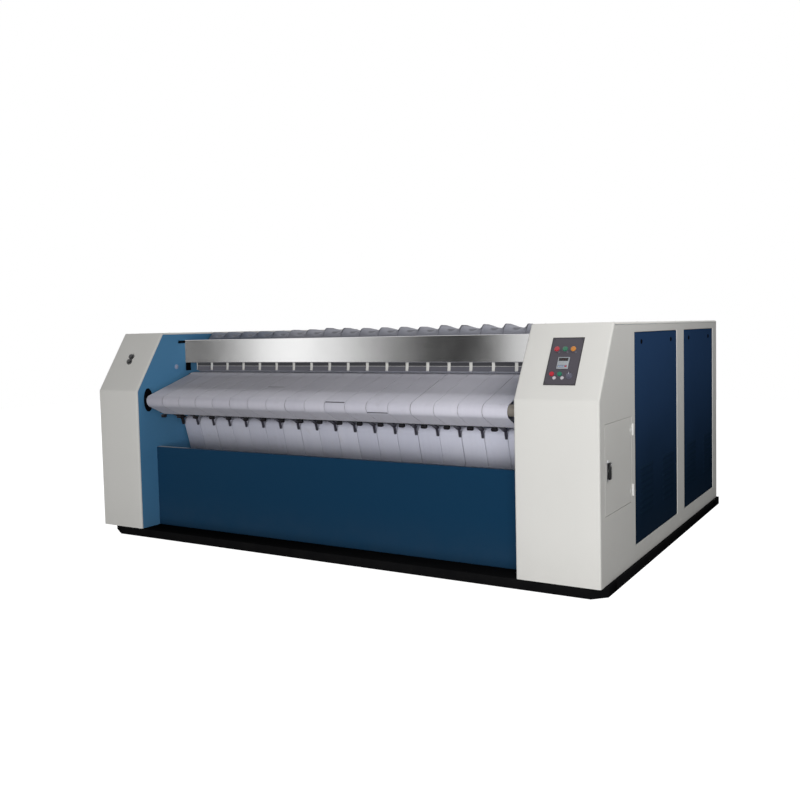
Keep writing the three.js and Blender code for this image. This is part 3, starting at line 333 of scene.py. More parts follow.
# Blank legend tags, which also stand in for the bezels' highlight: partly a painted highlight.
tagAndHighlightWhite = powderCoat("tag and painted highlight white", srgb(196, 192, 196))
keyGrey = powderCoat("key panel grey", srgb(128, 132, 142))
hingeWhite = powderCoat("hinge white", srgb(226, 226, 224), 0.4, soil=0.02, shine=0.3)
chassisBlack = powderCoat("chassis black", srgb(12, 13, 16), 0.5, 0.08, 0.02, shine=0.0)
combBlack = powderCoat("comb black", srgb(26, 24, 28), grain=0.06)
combGrey = powderCoat("comb grey", srgb(58, 56, 66), grain=0.06)
lacingGrey = powderCoat("lacing grey", srgb(88, 88, 94), 0.5, 0.1, shine=0.3)
guardDark = powderCoat("guard dark grey", srgb(68, 68, 72), grain=0.06, shine=0.3)
guardGrey = powderCoat("guard grey", srgb(98, 98, 106), grain=0.06, shine=0.3)
fasciaSteel = brushedSteel("polished fascia steel", (0.78, 0.78, 0.78), 0.13, 0.006)
drumSteel = brushedSteel("polished drum steel", (0.74, 0.74, 0.73), 0.17, 0.25)
groundSteel = brushedSteel("ground steel", (0.46, 0.46, 0.46), 0.34, 0.35)
zinc = brushedSteel("bright zinc", (0.68, 0.69, 0.70), 0.30, 0.2, 2)
iron = castIron("machine grey iron", srgb(92, 99, 106))
motorPaint = castIron("motor paint", srgb(60, 84, 104))
plateGrey = plastic("control plate grey", srgb(66, 62, 70), 0.42)
shellGrey = plastic("controller shell", srgb(160, 165, 170))
knobGrey = plastic("knob grey", srgb(92, 92, 106))
blackPlastic = plastic("black plastic", srgb(22, 22, 24), 0.36)
whitePlastic = plastic("legend white", srgb(232, 232, 236))
redPlastic = plastic("red button", srgb(176, 22, 44), 0.3)
greenPlastic = plastic("green button", srgb(20, 108, 82), 0.3)
keyBlue = plastic("key grey blue", srgb(150, 166, 190), 0.45)
glassBlack = plastic("display window", srgb(10, 10, 12), 0.12, 0.01)
digitRed = plastic("unlit digits", srgb(62, 20, 20), grain=0.0)
ductGrey = plastic("duct grey", srgb(140, 146, 152), 0.5)
blackRubber = rubber("black rubber", srgb(26, 26, 27))
redLens = lens("red lens", srgb(170, 20, 40))
greenLens = lens("green lens", srgb(16, 106, 76))
amberLens = lens("amber lens", srgb(198, 122, 16))

print("finishes made")


# ---- mesh tools

# A visible piece: parts is one mesh or a list of meshes that become one.
def newPiece(name, parts, body, slot, replaced=(), material=None):
    mesh = joined(name, parts) if isinstance(parts, list) else parts
    obj = linked(name, dressed(mesh, material) if material else mesh)
    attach(obj, body)
    if replaced:
        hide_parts(*replaced)


def tidyShade(mesh, angle):
    mesh.shade_smooth()
    mesh.set_sharp_from_angle(angle=math.radians(angle))
    return mesh


def toMesh(work, name, angle=35.0, metres=True):
    if metres:
        for vertex in work.verts:
            vertex.co = toMetres(vertex.co)
    mesh = bpy.data.meshes.new(name)
    work.to_mesh(mesh)
    work.free()
    return tidyShade(mesh, angle)


# Gives a mesh modifiers and keeps the outcome as a plain mesh.
def applied(mesh, *modifiers, angle=35.0):
    obj = linked("work", mesh)
    for kind, settings in modifiers:
        modifier = obj.modifiers.new(kind, kind)
        for key, value in settings.items():
            setattr(modifier, key, value)
    graph = bpy.context.evaluated_depsgraph_get()
    result = bpy.data.meshes.new_from_object(obj.evaluated_get(graph))
    bpy.data.objects.remove(obj)
    return tidyShade(result, angle)


def joined(name, meshes):
    work = bmesh.new()
    materials = []
    for mesh in meshes:
        start = len(work.faces)
        shifts = []
        for material in mesh.materials:
            if material not in materials:
                materials.append(material)
            shifts.append(materials.index(material))
        work.from_mesh(mesh)
        work.faces.ensure_lookup_table()
        for face in work.faces[start:]:
            face.material_index = shifts[face.material_index] if shifts else 0
    result = bpy.data.meshes.new(name)
    work.to_mesh(result)
    work.free()
    for material in materials:
        result.materials.append(material)
    return result


def dressed(mesh, material):
    mesh.materials.clear()
    mesh.materials.append(material)
    return mesh


# A copy of a CAD node's mesh with its doubles merged and its flat faces whole again.
def nodeCopy(node):
    work = bmesh.new()
    work.from_mesh(frame["nodes"][node].data)
    bmesh.ops.remove_doubles(work, verts=work.verts, dist=0.00002)
    bmesh.ops.dissolve_limit(work, angle_limit=math.radians(0.4), verts=work.verts, edges=work.edges)
    mesh = bpy.data.meshes.new(node)
    work.to_mesh(mesh)
    work.free()
    return mesh


def bevelSettings(width, segments=2):
    return ("BEVEL", {"width": width * metre, "segments": segments, "limit_method": "ANGLE",
                      "angle_limit": math.radians(30.0), "harden_normals": True,
                      "use_clamp_overlap": True})


# A CAD node's mesh with its edges rounded.
def softened(node, material, width, segments):
    return dressed(applied(nodeCopy(node), bevelSettings(width, segments)), material)


def boxMesh(x0, x1, y0, y1, z0, z1, radius=0.0, segments=2):
    work = bmesh.new()
    bmesh.ops.create_cube(work, size=1.0)
    for vertex in work.verts:
        vertex.co = Vector((x0 + (x1 - x0) * (vertex.co.x + 0.5), y0 + (y1 - y0) * (vertex.co.y + 0.5),
                            z0 + (z1 - z0) * (vertex.co.z + 0.5)))
    if radius:
        bmesh.ops.bevel(work, geom=work.edges[:], offset=radius, segments=segments, profile=0.5,
                        affect="EDGES", clamp_overlap=True)
    return toMesh(work, "box")


def box(material, *sizes):
    return dressed(boxMesh(*sizes), material)


def ringPlaces(count, y, z, radius, first=0.0):
    turns = [2 * math.pi * k / count + first for k in range(count)]
    return [(y + radius * math.cos(turn), z + radius * math.sin(turn)) for turn in turns]


# A body of revolution about the X axis through (y, z); the profile is (x, radius) pairs.
def turned(profile, y, z, steps, angle=35.0):
    work = bmesh.new()
    rings = []
    for x, radius in profile:
        if radius < 1e-6:
            rings.append([work.verts.new((x, y, z))])
        else:
            rings.append([work.verts.new((x, *place)) for place in ringPlaces(steps, y, z, radius)])
    for first, second in zip(rings, rings[1:]):
        if len(first) == 1 and len(second) == 1:
            continue
        for k in range(steps):
            n = (k + 1) % steps
            if len(first) == 1:
                work.faces.new((first[0], second[n], second[k]))
            elif len(second) == 1:
                work.faces.new((first[k], first[n], second[0]))
            else:
                work.faces.new((first[k], first[n], second[n], second[k]))
    bmesh.ops.recalc_face_normals(work, faces=work.faces)
    return toMesh(work, "turned", angle)


# A profile with its inner corners rounded.
def roundedProfile(points, radius, steps):
    rounded = [points[0]]
    for before, corner, after in zip(points, points[1:], points[2:]):
        start, middle, end = Vector(before), Vector(corner), Vector(after)
        reach = min(radius, (start - middle).length * 0.45, (end - middle).length * 0.45)
        first = middle + (start - middle).normalized() * reach
        last = middle + (end - middle).normalized() * reach
        for k in range(steps + 1):
            t = k / steps
            rounded.append(tuple(first * (1 - t) ** 2 + middle * 2 * t * (1 - t) + last * t * t))
    rounded.append(points[-1])
    return rounded


# ---- geometry trees: a small builder with named inputs

class GrowTree:
    def __init__(self, name):
        self.tree = bpy.data.node_groups.new(name, "GeometryNodeTree")
        self.tree.interface.new_socket("Geometry", in_out="OUTPUT", socket_type="NodeSocketGeometry")
        self.entry = self.tree.nodes.new("NodeGroupInput")
        self.exit = self.tree.nodes.new("NodeGroupOutput")

    def asks(self, name, kind, value=None):
        socket = self.tree.interface.new_socket(name, in_out="INPUT", socket_type="NodeSocket" + kind)
        if value is not None:
            socket.default_value = value
        return self.entry.outputs[name]

    def add(self, kind, settings=None, values=None, out=0):
        node = self.tree.nodes.new(kind)
        for key, value in (settings or {}).items():
            setattr(node, key, value)
        for key, value in (values or {}).items():
            if isinstance(value, bpy.types.NodeSocket):
                self.tree.links.new(value, node.inputs[key])
            else:
                node.inputs[key].default_value = value
        return node.outputs[out]

    def finish(self, geometry, material):
        real = self.add("GeometryNodeRealizeInstances", None, {0: geometry})
        painted = self.add("GeometryNodeSetMaterial", None, {0: real, "Material": material})
        self.tree.links.new(painted, self.exit.inputs[0])


def grown(builder, values, base=None, angle=35.0):
    host = linked("host", base or bpy.data.meshes.new("empty"))
    modifier = host.modifiers.new("grow", "NODES")
    modifier.node_group = builder.tree
    sockets = {item.name: item.identifier for item in builder.tree.interface.items_tree
               if item.in_out == "INPUT"}
    for name, value in values.items():
        modifier[sockets[name]] = value
    graph = bpy.context.evaluated_depsgraph_get()
    mesh = bpy.data.meshes.new_from_object(host.evaluated_get(graph))
    bpy.data.objects.remove(host)
    return tidyShade(mesh, angle)


# One tree sets a part on every point of a mesh, its Z axis along the point's "facing".
def makeScatter():
    tree = GrowTree("set on points")
    points = tree.asks("Geometry", "Geometry")
    part = tree.asks("Part", "Object")
    material = tree.asks("Material", "Material")
    turn = tree.asks("Turn", "Float", 0.0)
    seed = tree.asks("Seed", "Int", 1)
    shape = tree.add("GeometryNodeObjectInfo", None, {"Object": part}, "Geometry")
    facing, heading = (tree.add("GeometryNodeInputNamedAttribute", {"data_type": "FLOAT_VECTOR"},
                                {"Name": name}) for name in ("facing", "heading"))
    upright = tree.add("FunctionNodeAlignRotationToVector", {"axis": "Z"}, {"Vector": facing})
    aimed = tree.add("FunctionNodeAlignRotationToVector", {"axis": "X", "pivot_axis": "Z"},
                     {"Rotation": upright, "Vector": heading})
    spin = tree.add("FunctionNodeRandomValue", {"data_type": "FLOAT"}, {2: 0.0, 3: turn, "Seed": seed}, 1)
    axis = tree.add("ShaderNodeCombineXYZ", None, {2: spin})
    turned = tree.add("FunctionNodeEulerToRotation", None, {0: axis})
    final = tree.add("FunctionNodeRotateRotation", {"rotation_space": "LOCAL"}, {0: aimed, 1: turned})
    placed = tree.add("GeometryNodeInstanceOnPoints", None,
                      {"Points": points, "Instance": shape, "Rotation": final})
    tree.finish(placed, material)
    return tree


scatterTree = makeScatter()


# spots are (place in machine millimetres, facing, heading); part is a mesh in metres.
def scattered(part, spots, material, turn=0.0, seed=1, angle=35.0):
    base = bpy.data.meshes.new("spots")
    base.from_pydata([toMetres(spot[0]) for spot in spots], [], [])
    for name, k in (("facing", 1), ("heading", 2)):
        attribute = base.attributes.new(name, "FLOAT_VECTOR", "POINT")
        for row, spot in zip(attribute.data, spots):
            row.vector = spot[k]
    holder = linked("part", part)
    mesh = grown(scatterTree, {"Part": holder, "Material": material, "Turn": turn, "Seed": seed}, base, angle)
    bpy.data.objects.remove(holder)
    return mesh


# A round part about its own Z axis, from (height, radius) pairs in millimetres.
def roundPart(profile, steps=20, angle=35.0):
    work = bmesh.new()
    work.from_mesh(turned(profile, 0, 0, steps, angle))
    for vertex in work.verts:
        x, y, z = vertex.co + machineOrigin * metre
        vertex.co = (y, z, x)
    return toMesh(work, "round part", angle, False)


# A mesh shifted by millimetres, from the machine's origin unless told otherwise.
def localMesh(mesh, shift=machineOrigin):
    work = bmesh.new()
    work.from_mesh(mesh)
    for vertex in work.verts:
        vertex.co += shift * metre
    return toMesh(work, "local part", 35.0, False)


def localBox(*sizes):
    return localMesh(boxMesh(*sizes))


def screwHead(radius, height):
    recess = radius * 0.45
    return roundPart([(0, radius), (height * 0.55, radius), (height * 0.85, radius * 0.86),
                      (height, radius * 0.6), (height, recess), (height * 0.45, recess * 0.9),
                      (height * 0.45, 0)], 16)


def hexHead(radius, height):
    return roundPart([(0, radius * 1.35), (height * 0.18, radius * 1.35), (height * 0.18, radius),
                      (height * 0.9, radius), (height, radius * 0.86), (height, 0)], 6, 20.0)


# Screws take any turn, bolts only a little of one.
def screws(size, spots, material, seed):
    return scattered(screwHead(*size), spots, material, 6.2, seed)


def bolts(size, spots, material, seed):
    return scattered(hexHead(*size), spots, material, 1.0, seed)


rightFacing, leftFacing = Vector((1, 0, 0)), Vector((-1, 0, 0))
rearFacing, upFacing = Vector((0, 1, 0)), Vector((0, 0, 1))


def acrossSpots(places):
    return [((x, 0, 0), upFacing, rightFacing) for x in places]


print("tools ready")


# ---- stage and light

stageSizes = {"reach": 14000.0, "floorGreys": (0.22, 0.26), "ambient": 0.13, "cardY": -6000.0,
              "cardFoot": -200.0, "cardTop": 3600.0, "cardBeyond": 5200.0, "cardGain": 1 / 0.78}

# A card that only mirrors see: (X, grey level 0 to 255) stops give the fascia its long gradient.
cardStops = ((-8600, 84), (-7400, 94), (-6726, 170), (-6162, 240), (-5407, 252), (-4392, 202), (-3722, 142),
             (-3173, 90), (-2800, 54), (-2450, 30), (-2150, 26), (-1900, 72), (-1700, 146), (-1492, 208),
             (-1200, 216))

# Area lights: name, place, target, width, height and watts.
areaLights = (("front softbox", (3400, -4300, 1300), (600, 200, 800), 2600, 2200, 120.0),
              ("high side light", (3300, 600, 3500), (2000, 1100, 1200), 1800, 1800, 30.0))

# Suns: name, direction of travel, strength and angle in degrees.
sunLights = (("overhead back light", (0.0, -0.637, -0.771), 1.32, 6.0),
             ("low front fill", (-0.10, 0.98, 0.12), 1.04, 30.0))


def addStageSheet(name, corners, finish):
    work = bmesh.new()
    work.faces.new([work.verts.new(corner) for corner in corners])
    sheet = linked(name, dressed(toMesh(work, name), finish.material))
    return sheet


# The camera sees a white floor; light sees a grey one.
def addFloor():
    finish = Finish("pale floor")
    grain = finish.noise(finish.here(), 3.0, 3.0)
    dark, pale = ((level, level, level) for level in stageSizes["floorGreys"])
    seen = finish.add("ShaderNodeLightPath", out="Is Camera Ray")
    finish.surface(Base_Color=finish.blend(grain, dark, pale), Roughness=0.9, Emission_Strength=1.0,
                   Emission_Color=finish.blend(seen, (0.0, 0.0, 0.0), (1.0, 1.0, 1.0)))
    reach = stageSizes["reach"]
    corners = [(-reach, -reach, 0), (reach, -reach, 0), (reach, reach, 0), (-reach, reach, 0)]
    addStageSheet("floor", corners, finish).visible_shadow = False


# White for the camera, mirrors and glass, and a weak ambient light for the rest.
def addWorld():
    world = bpy.data.worlds.new("studio")
    bpy.context.scene.world = world
    world.use_nodes = True
    tree = world.node_tree
    tree.nodes.clear()
    out, shader, rays, first, second, level = (tree.nodes.new("ShaderNode" + kind) for kind in (
        "OutputWorld", "Background", "LightPath", "Math", "Math", "MapRange"))
    first.operation = second.operation = "MAXIMUM"
    level.inputs["To Min"].default_value = stageSizes["ambient"]
    level.inputs["To Max"].default_value = 1.0
    shader.inputs["Color"].default_value = (1.0, 1.0, 1.0, 1.0)
    for source, target in ((rays.outputs["Is Camera Ray"], first.inputs[0]),
                           (rays.outputs["Is Glossy Ray"], first.inputs[1]),
                           (first.outputs[0], second.inputs[0]),
                           (rays.outputs["Is Transmission Ray"], second.inputs[1]),
                           (second.outputs[0], level.inputs["Value"]),
                           (level.outputs[0], shader.inputs["Strength"]),
                           (shader.outputs[0], out.inputs["Surface"])):
        tree.links.new(source, target)


def addCard():
    left, right = cardStops[0][0], cardStops[-1][0]
    finish = Finish("mirror card")
    share = finish.add("ShaderNodeMapRange", None, {
        "Value": finish.axis(finish.here(), 0), "From Min": toMetres((left, 0, 0)).x,
        "From Max": toMetres((right, 0, 0)).x})
    stops = [((x - left) / (right - left), scaled(srgb(level, level, level), stageSizes["cardGain"]))
             for x, level in cardStops]
    glow = finish.add("ShaderNodeValToRGB", {"stops": stops}, {0: share})
    finish.surface(Base_Color=(0.0, 0.0, 0.0), Roughness=1.0, Emission_Color=glow, Emission_Strength=1.0)
    y, foot, top = stageSizes["cardY"], stageSizes["cardFoot"], stageSizes["cardTop"]
    end = right + stageSizes["cardBeyond"]
    corners = [(left, y, foot), (end, y, foot), (end, y, top), (left, y, top)]
    card = addStageSheet("mirror card", corners, finish)
    card.visible_camera = card.visible_diffuse = card.visible_shadow = False


def addLight(name, data, place, travel):
    lamp = linked(name, data)
    lamp.location = place
    lamp.rotation_euler = travel.to_track_quat("-Z", "Y").to_euler()
    lamp.visible_glossy = False


addFloor()
addWorld()
addCard()
for name, place, target, width, height, watts in areaLights:
    data = bpy.data.lights.new(name, "AREA")
    data.shape, data.size, data.size_y, data.energy = "RECTANGLE", width * metre, height * metre, watts
    addLight(name, data, toMetres(place), toMetres(target) - toMetres(place))
for name, travel, strength, angle in sunLights:
    data = bpy.data.lights.new(name, "SUN")
    data.energy, data.angle = strength, math.radians(angle)
    addLight(name, data, (0.0, 0.0, 0.0), Vector(travel))

print("stage and lights set")


# ---- belts

# Wheels that belts and the chain run on: (y, z, radius).
nipAngle, nipReach = math.radians(136), 449.5
wheelSizes = {
    "chainDrum": (1040, 1000, 154), "chainMotor": (1520, 330, 54),
    "noseRoller": (115, 1076, 38), "noseBend": (115, 1070, 44), "returnBar": (250, 976, 16),
    "feedRearRoller": (600, 1232, 35), "outletRoller": (545, 862, 45), "lowerFrontRoller": (690, 350, 45),
    "lowerRearRoller": (2850, 350, 45), "topRearRoller": (2850, 1507, 60), "topFrontRoller": (885, 1489, 84),
    "frontDrum": (1040, 1000, 400), "rearDrum": (2260, 1000, 400),
    "nipRoller": (1040 + nipReach * math.cos(nipAngle), 1000 + nipReach * math.sin(nipAngle), 40)}
beltRun = {"gap": 1.5, "arcStep": 5.5, "legStep": 75.0, "columns": 9}


# The middle line of a belt round its wheels: (y, z, outward y, outward z, length, wheel or leg).
def beltRows(wheels, thickness):
    headings, rows, travelled = [], [], 0.0
    reach = beltRun["gap"] + thickness / 2
    for k, (name, turn) in enumerate(wheels):
        nextName, nextTurn = wheels[(k + 1) % len(wheels)]
        y, z, r = wheelSizes[name]
        nextY, nextZ, nextR = wheelSizes[nextName]
        across = nextTurn * (nextR + reach) - turn * (r + reach)
        away = math.hypot(nextY - y, nextZ - z)
        headings.append(math.atan2(nextZ - z, nextY - y) - math.asin(across / away))
    for k, (name, turn) in enumerate(wheels):
        y, z, r = wheelSizes[name]
        arrive, leave = headings[k - 1], headings[k]
        sweep = turn * (((leave - arrive) * turn) % (2 * math.pi))
        count = max(2, math.ceil(abs(math.degrees(sweep)) / beltRun["arcStep"]))
        for step in range(count + 1):
            heading = arrive + sweep * step / count
            away = Vector((math.sin(heading), -math.cos(heading)))
            here = Vector((y, z)) + away * turn * (r + reach)
            if rows:
                travelled += (here - Vector(rows[-1][:2])).length
            rows.append((here.x, here.y, away.x, away.y, travelled, name, step / count))
        nextName, nextTurn = wheels[(k + 1) % len(wheels)]
        nextY, nextZ, nextR = wheelSizes[nextName]
        away = Vector((math.sin(leave), -math.cos(leave)))
        start = Vector((y, z)) + away * turn * (r + reach)
        end = Vector((nextY, nextZ)) + away * nextTurn * (nextR + reach)
        count = max(2, math.ceil((end - start).length / beltRun["legStep"]))
        for step in range(1, count):
            here = start.lerp(end, step / count)
            travelled += (here - Vector(rows[-1][:2])).length
            rows.append((here.x, here.y, away.x, away.y, travelled, name + " leg", step / count))
    return rows


# One closed belt of cloth about X = 0; lift(row, share across) raises the cloth off its line.
def beltMesh(rows, width, thickness, lift):
    work = bmesh.new()
    chart = work.loops.layers.uv.new("cloth")
    half = width / 2
    columns = beltRun["columns"]
    shares = [-1, -0.97] + [-0.9 + 1.8 * k / (columns - 1) for k in range(columns)] + [0.97, 1]
    rings = []
    for row in rows:
        y, z, outY, outZ = row[:4]
        outer, inner = [], []
        for share in shares:
            rise = lift(row, share)
            edge = thickness * (0.28 if abs(share) == 1 else 0.5)
            for side, ring in ((edge, outer), (-edge, inner)):
                height = rise + side
                ring.append(work.verts.new((half * share, y + outY * height, z + outZ * height)))
        rings.append(outer + inner[::-1])
    rises = [lift(row, share) for row in rows for share in shares + shares[::-1]]
    total = rows[-1][4] + (Vector(rows[0][:2]) - Vector(rows[-1][:2])).length
    around = len(rings[0])
    for k, ring in enumerate(rings):
        following = rings[(k + 1) % len(rings)]
        start = rows[k][4]
        end = rows[k + 1][4] if k + 1 < len(rows) else total
        for n in range(around):
            m = (n + 1) % around
            face = work.faces.new((ring[n], following[n], following[m], ring[m]))
            spread = [shares[i] if i < len(shares) else shares[2 * len(shares) - 1 - i] for i in (n, m)]
            for loop, place in zip(face.loops, ((spread[0], start), (spread[0], end), (spread[1], end),
                                                (spread[1], start))):
                loop[chart].uv = (0.5 + place[0] / 2, place[1] * metre)
    bmesh.ops.recalc_face_normals(work, faces=work.faces)
    for vertex in work.verts:
        vertex.co *= metre
    mesh = toMesh(work, "belt", 50.0, False)
    outward = [row[2:4] for row in rows for _ in range(around)]
    raised = mesh.attributes.new("rise", "FLOAT_VECTOR", "POINT")
    for point, rise, out in zip(raised.data, rises, outward):
        point.vector = (0.0, out[0] * rise * metre, out[1] * rise * metre)
    height = mesh.attributes.new("raised", "FLOAT", "POINT")
    for point, rise in zip(height.data, rises):
        point.value = rise / ironingBelt["curl"]
    return mesh


# Repeats one belt across its lanes with a small seeded drift, and writes each lane's number.
def makeLaneTree():
    tree = GrowTree("belt lanes")
    tree.asks("Geometry", "Geometry")
    belt = tree.asks("Belt", "Object")
    count = tree.asks("Lane count", "Int", 18)
    pitch = tree.asks("Lane pitch", "Float", 0.17)
    start = tree.asks("First lane", "Vector")
    drift = tree.asks("Drift", "Float", 0.001)
    seed = tree.asks("Seed", "Int", 4)
    flat = tree.asks("Flat lanes", "Int", 0)
    least, most = tree.asks("Least rise", "Float", 1.0), tree.asks("Most rise", "Float", 1.0)
    material = tree.asks("Material", "Material")
    across = tree.add("ShaderNodeCombineXYZ", None, {0: pitch})
    line = tree.add("GeometryNodeMeshLine", None, {"Count": count, "Start Location": start, "Offset": across})
    low = tree.add("ShaderNodeMath", {"operation": "MULTIPLY"}, {0: drift, 1: -1.0})
    shift = tree.add("FunctionNodeRandomValue", {"data_type": "FLOAT"}, {2: low, 3: drift, "Seed": seed}, 1)
    offset = tree.add("ShaderNodeCombineXYZ", None, {0: shift})
    moved = tree.add("GeometryNodeSetPosition", None, {"Geometry": line, "Offset": offset})
    shape = tree.add("GeometryNodeObjectInfo", None, {"Object": belt}, "Geometry")
    placed = tree.add("GeometryNodeInstanceOnPoints", None, {"Points": moved, "Instance": shape})
    number = tree.add("GeometryNodeInputIndex")
    named = tree.add("GeometryNodeStoreNamedAttribute", {"data_type": "FLOAT", "domain": "INSTANCE"},
                     {"Geometry": placed, "Name": "lane", "Value": number})
    real = tree.add("GeometryNodeRealizeInstances", None, {0: named})
    lane = tree.add("GeometryNodeInputNamedAttribute", {"data_type": "FLOAT"}, {"Name": "lane"})
    whole = tree.add("FunctionNodeFloatToInt", None, {0: lane})
    height = tree.add("FunctionNodeRandomValue", {"data_type": "FLOAT"},
                      {2: least, 3: most, "ID": whole, "Seed": seed}, 1)
    raised = tree.add("ShaderNodeMath", {"operation": "GREATER_THAN"}, {0: lane, 1: flat})
    share = tree.add("ShaderNodeMapRange", None, {"Value": raised, "To Min": ironingFlat, "To Max": height})
    change = tree.add("ShaderNodeMath", {"operation": "SUBTRACT"}, {0: share, 1: 1.0})
    rise = tree.add("GeometryNodeInputNamedAttribute", {"data_type": "FLOAT_VECTOR"}, {"Name": "rise"})
    sink = tree.add("ShaderNodeVectorMath", {"operation": "SCALE"}, {0: rise, "Scale": change})
    settled = tree.add("GeometryNodeSetPosition", None, {"Geometry": real, "Offset": sink})
    tree.finish(settled, material)
    return tree


# The share of the curl that the leftmost ironing belts keep.
ironingFlat = 0.12
laneTree = makeLaneTree()


def lanes(mesh, belt, seed, material, flatLanes=0, riseRange=(1.0, 1.0)):
    count, pitch = belt["count"], belt["pitch"]
    holder = linked("belt", mesh)
    first = toMetres((belt["centre"] - (count - 1) / 2 * pitch, 0, 0))
    result = grown(laneTree, {"Belt": holder, "Lane count": count, "Lane pitch": pitch * metre,
                              "First lane": first, "Drift": belt["drift"] * metre, "Seed": seed,
                              "Flat lanes": flatLanes, "Least rise": riseRange[0], "Most rise": riseRange[1],
                              "Material": material}, angle=50.0)
    bpy.data.objects.remove(holder)
    return result


def laneLines(belt):
    return [belt["centre"] + (k + 1 - belt["count"] / 2) * belt["pitch"] for k in range(belt["count"] - 1)]


feedBelt = {"count": 18, "pitch": 172.0, "centre": -17.0, "thickness": 4.0, "gap": 3.5, "crown": 0.9,
            "ripple": 0.5, "drift": 0.7}
ironingBelt = {"count": 18, "pitch": 172.0, "centre": -38.0, "thickness": 6.0, "gap": 3.0, "curl": 36.0,
               "sway": 1.2, "drift": 0.5, "flatLanes": 4, "riseRange": (0.7, 1.05)}


def easedStep(value, low, high):
    t = min(1.0, max(0.0, (value - low) / (high - low)))
    return t * t * (3 - 2 * t)


def addFeedBelts():
    rows = beltRows([("feedRearRoller", 1), ("noseBend", 1), ("returnBar", 1)], feedBelt["thickness"])

    def lift(row, share):
        flat = math.sin(math.pi * row[6]) if row[5].endswith("leg") else 0.0
        ripple = math.sin(row[4] / 61.0 + share * 1.7) * feedBelt["ripple"] * flat
        return feedBelt["crown"] * share ** 4 * flat + ripple

    # The feed cloth carries the fascia's painted shadow towards the rear.
    cloth = belting("feed belting", srgb(226, 225, 236), srgb(205, 204, 217), srgb(172, 168, 176),
                    0.0022, 0.167, paintedShadow=(1.10, 1.155, 0.27))
    belt = beltMesh(rows, feedBelt["pitch"] - feedBelt["gap"], feedBelt["thickness"], lift)
    newPiece("feed_belt_set", lanes(belt, feedBelt, 5, cloth), "machine", "feed_cloth", ("feed_belts",))


def addIroningBelts():
    wheels = [("nipRoller", 1), ("frontDrum", -1), ("rearDrum", -1), ("frontDrum", -1), ("outletRoller", 1),
              ("lowerFrontRoller", 1), ("lowerRearRoller", 1), ("topRearRoller", 1), ("topFrontRoller", 1)]
    rows = beltRows(wheels, ironingBelt["thickness"])

    # The belts curl up on the last of the top run and lie flat again round its front roller.
    def curl(row):
        if row[5] == "topRearRoller leg":
            return easedStep(row[6], 0.84, 0.985)
        if row[5] == "topFrontRoller":
            return 1 - easedStep(row[6], 0.15, 0.8)
        return 0.0

    def lift(row, share):
        sway = 0.0
        if row[5].endswith("leg"):
            sway = math.sin(row[4] / 190.0) * ironingBelt["sway"] * math.sin(math.pi * row[6])
        left, right = ((1 - share) / 2) ** 4.5, ((1 + share) / 2) ** 12.0
        return curl(row) * ironingBelt["curl"] * (left + right * 0.9) + sway

    # The ironing cloth is painted darker on its top run: painted shade.
    cloth = belting("ironing belting", srgb(226, 227, 240), srgb(200, 202, 219), srgb(186, 180, 176),
                    0.0026, 0.162, scorch=0.06, shade=(1.25, 1.36, 0.46))
    belt = beltMesh(rows, ironingBelt["pitch"] - ironingBelt["gap"], ironingBelt["thickness"], lift)
    mesh = lanes(belt, ironingBelt, 9, cloth, ironingBelt["flatLanes"], ironingBelt["riseRange"])
    newPiece("ironing_belt_set", mesh, "machine", "ironing_cloth", ("ironing_belts",))


# Dark lacings where three feed belts are joined: (lane, y, z, direction outward in degrees).
lacings = ((-3, 305.0, 1181.6, 107.5), (1, 77.1, 1101.8, 140.0), (3, 76.0, 1039.5, 218.0))


def addLacings():
    strip = localBox(-80, 80, -4.0, 4.0, -0.6, 1.0, 0.4)
    spots = []
    for lane, y, z, angle in lacings:
        out = Vector((0, math.cos(math.radians(angle)), math.sin(math.radians(angle))))
        spots.append(((feedBelt["centre"] + (lane + 0.5) * feedBelt["pitch"], y, z), out, rightFacing))
    newPiece("belt_lacings", scattered(strip, spots, lacingGrey), "machine", "black_paint")


addFeedBelts()
addIroningBelts()
addLacings()

print("belts made")


# ---- sheet metal

machineSizes = {"wall": 1600.0, "leftWidth": 430.0, "rightWidth": 530.0, "depth": 3160.0,
                "height": 1605.0, "knee": 1154.0, "setback": 293.0, "foot": 63.5, "sheet": 2.0}
slopeLength = math.hypot(machineSizes["setback"], machineSizes["height"] - machineSizes["knee"])
slopeUp = Vector((0, machineSizes["setback"] / slopeLength,
                  (machineSizes["height"] - machineSizes["knee"]) / slopeLength))
slopeOut = Vector((0, -slopeUp.z, slopeUp.y))


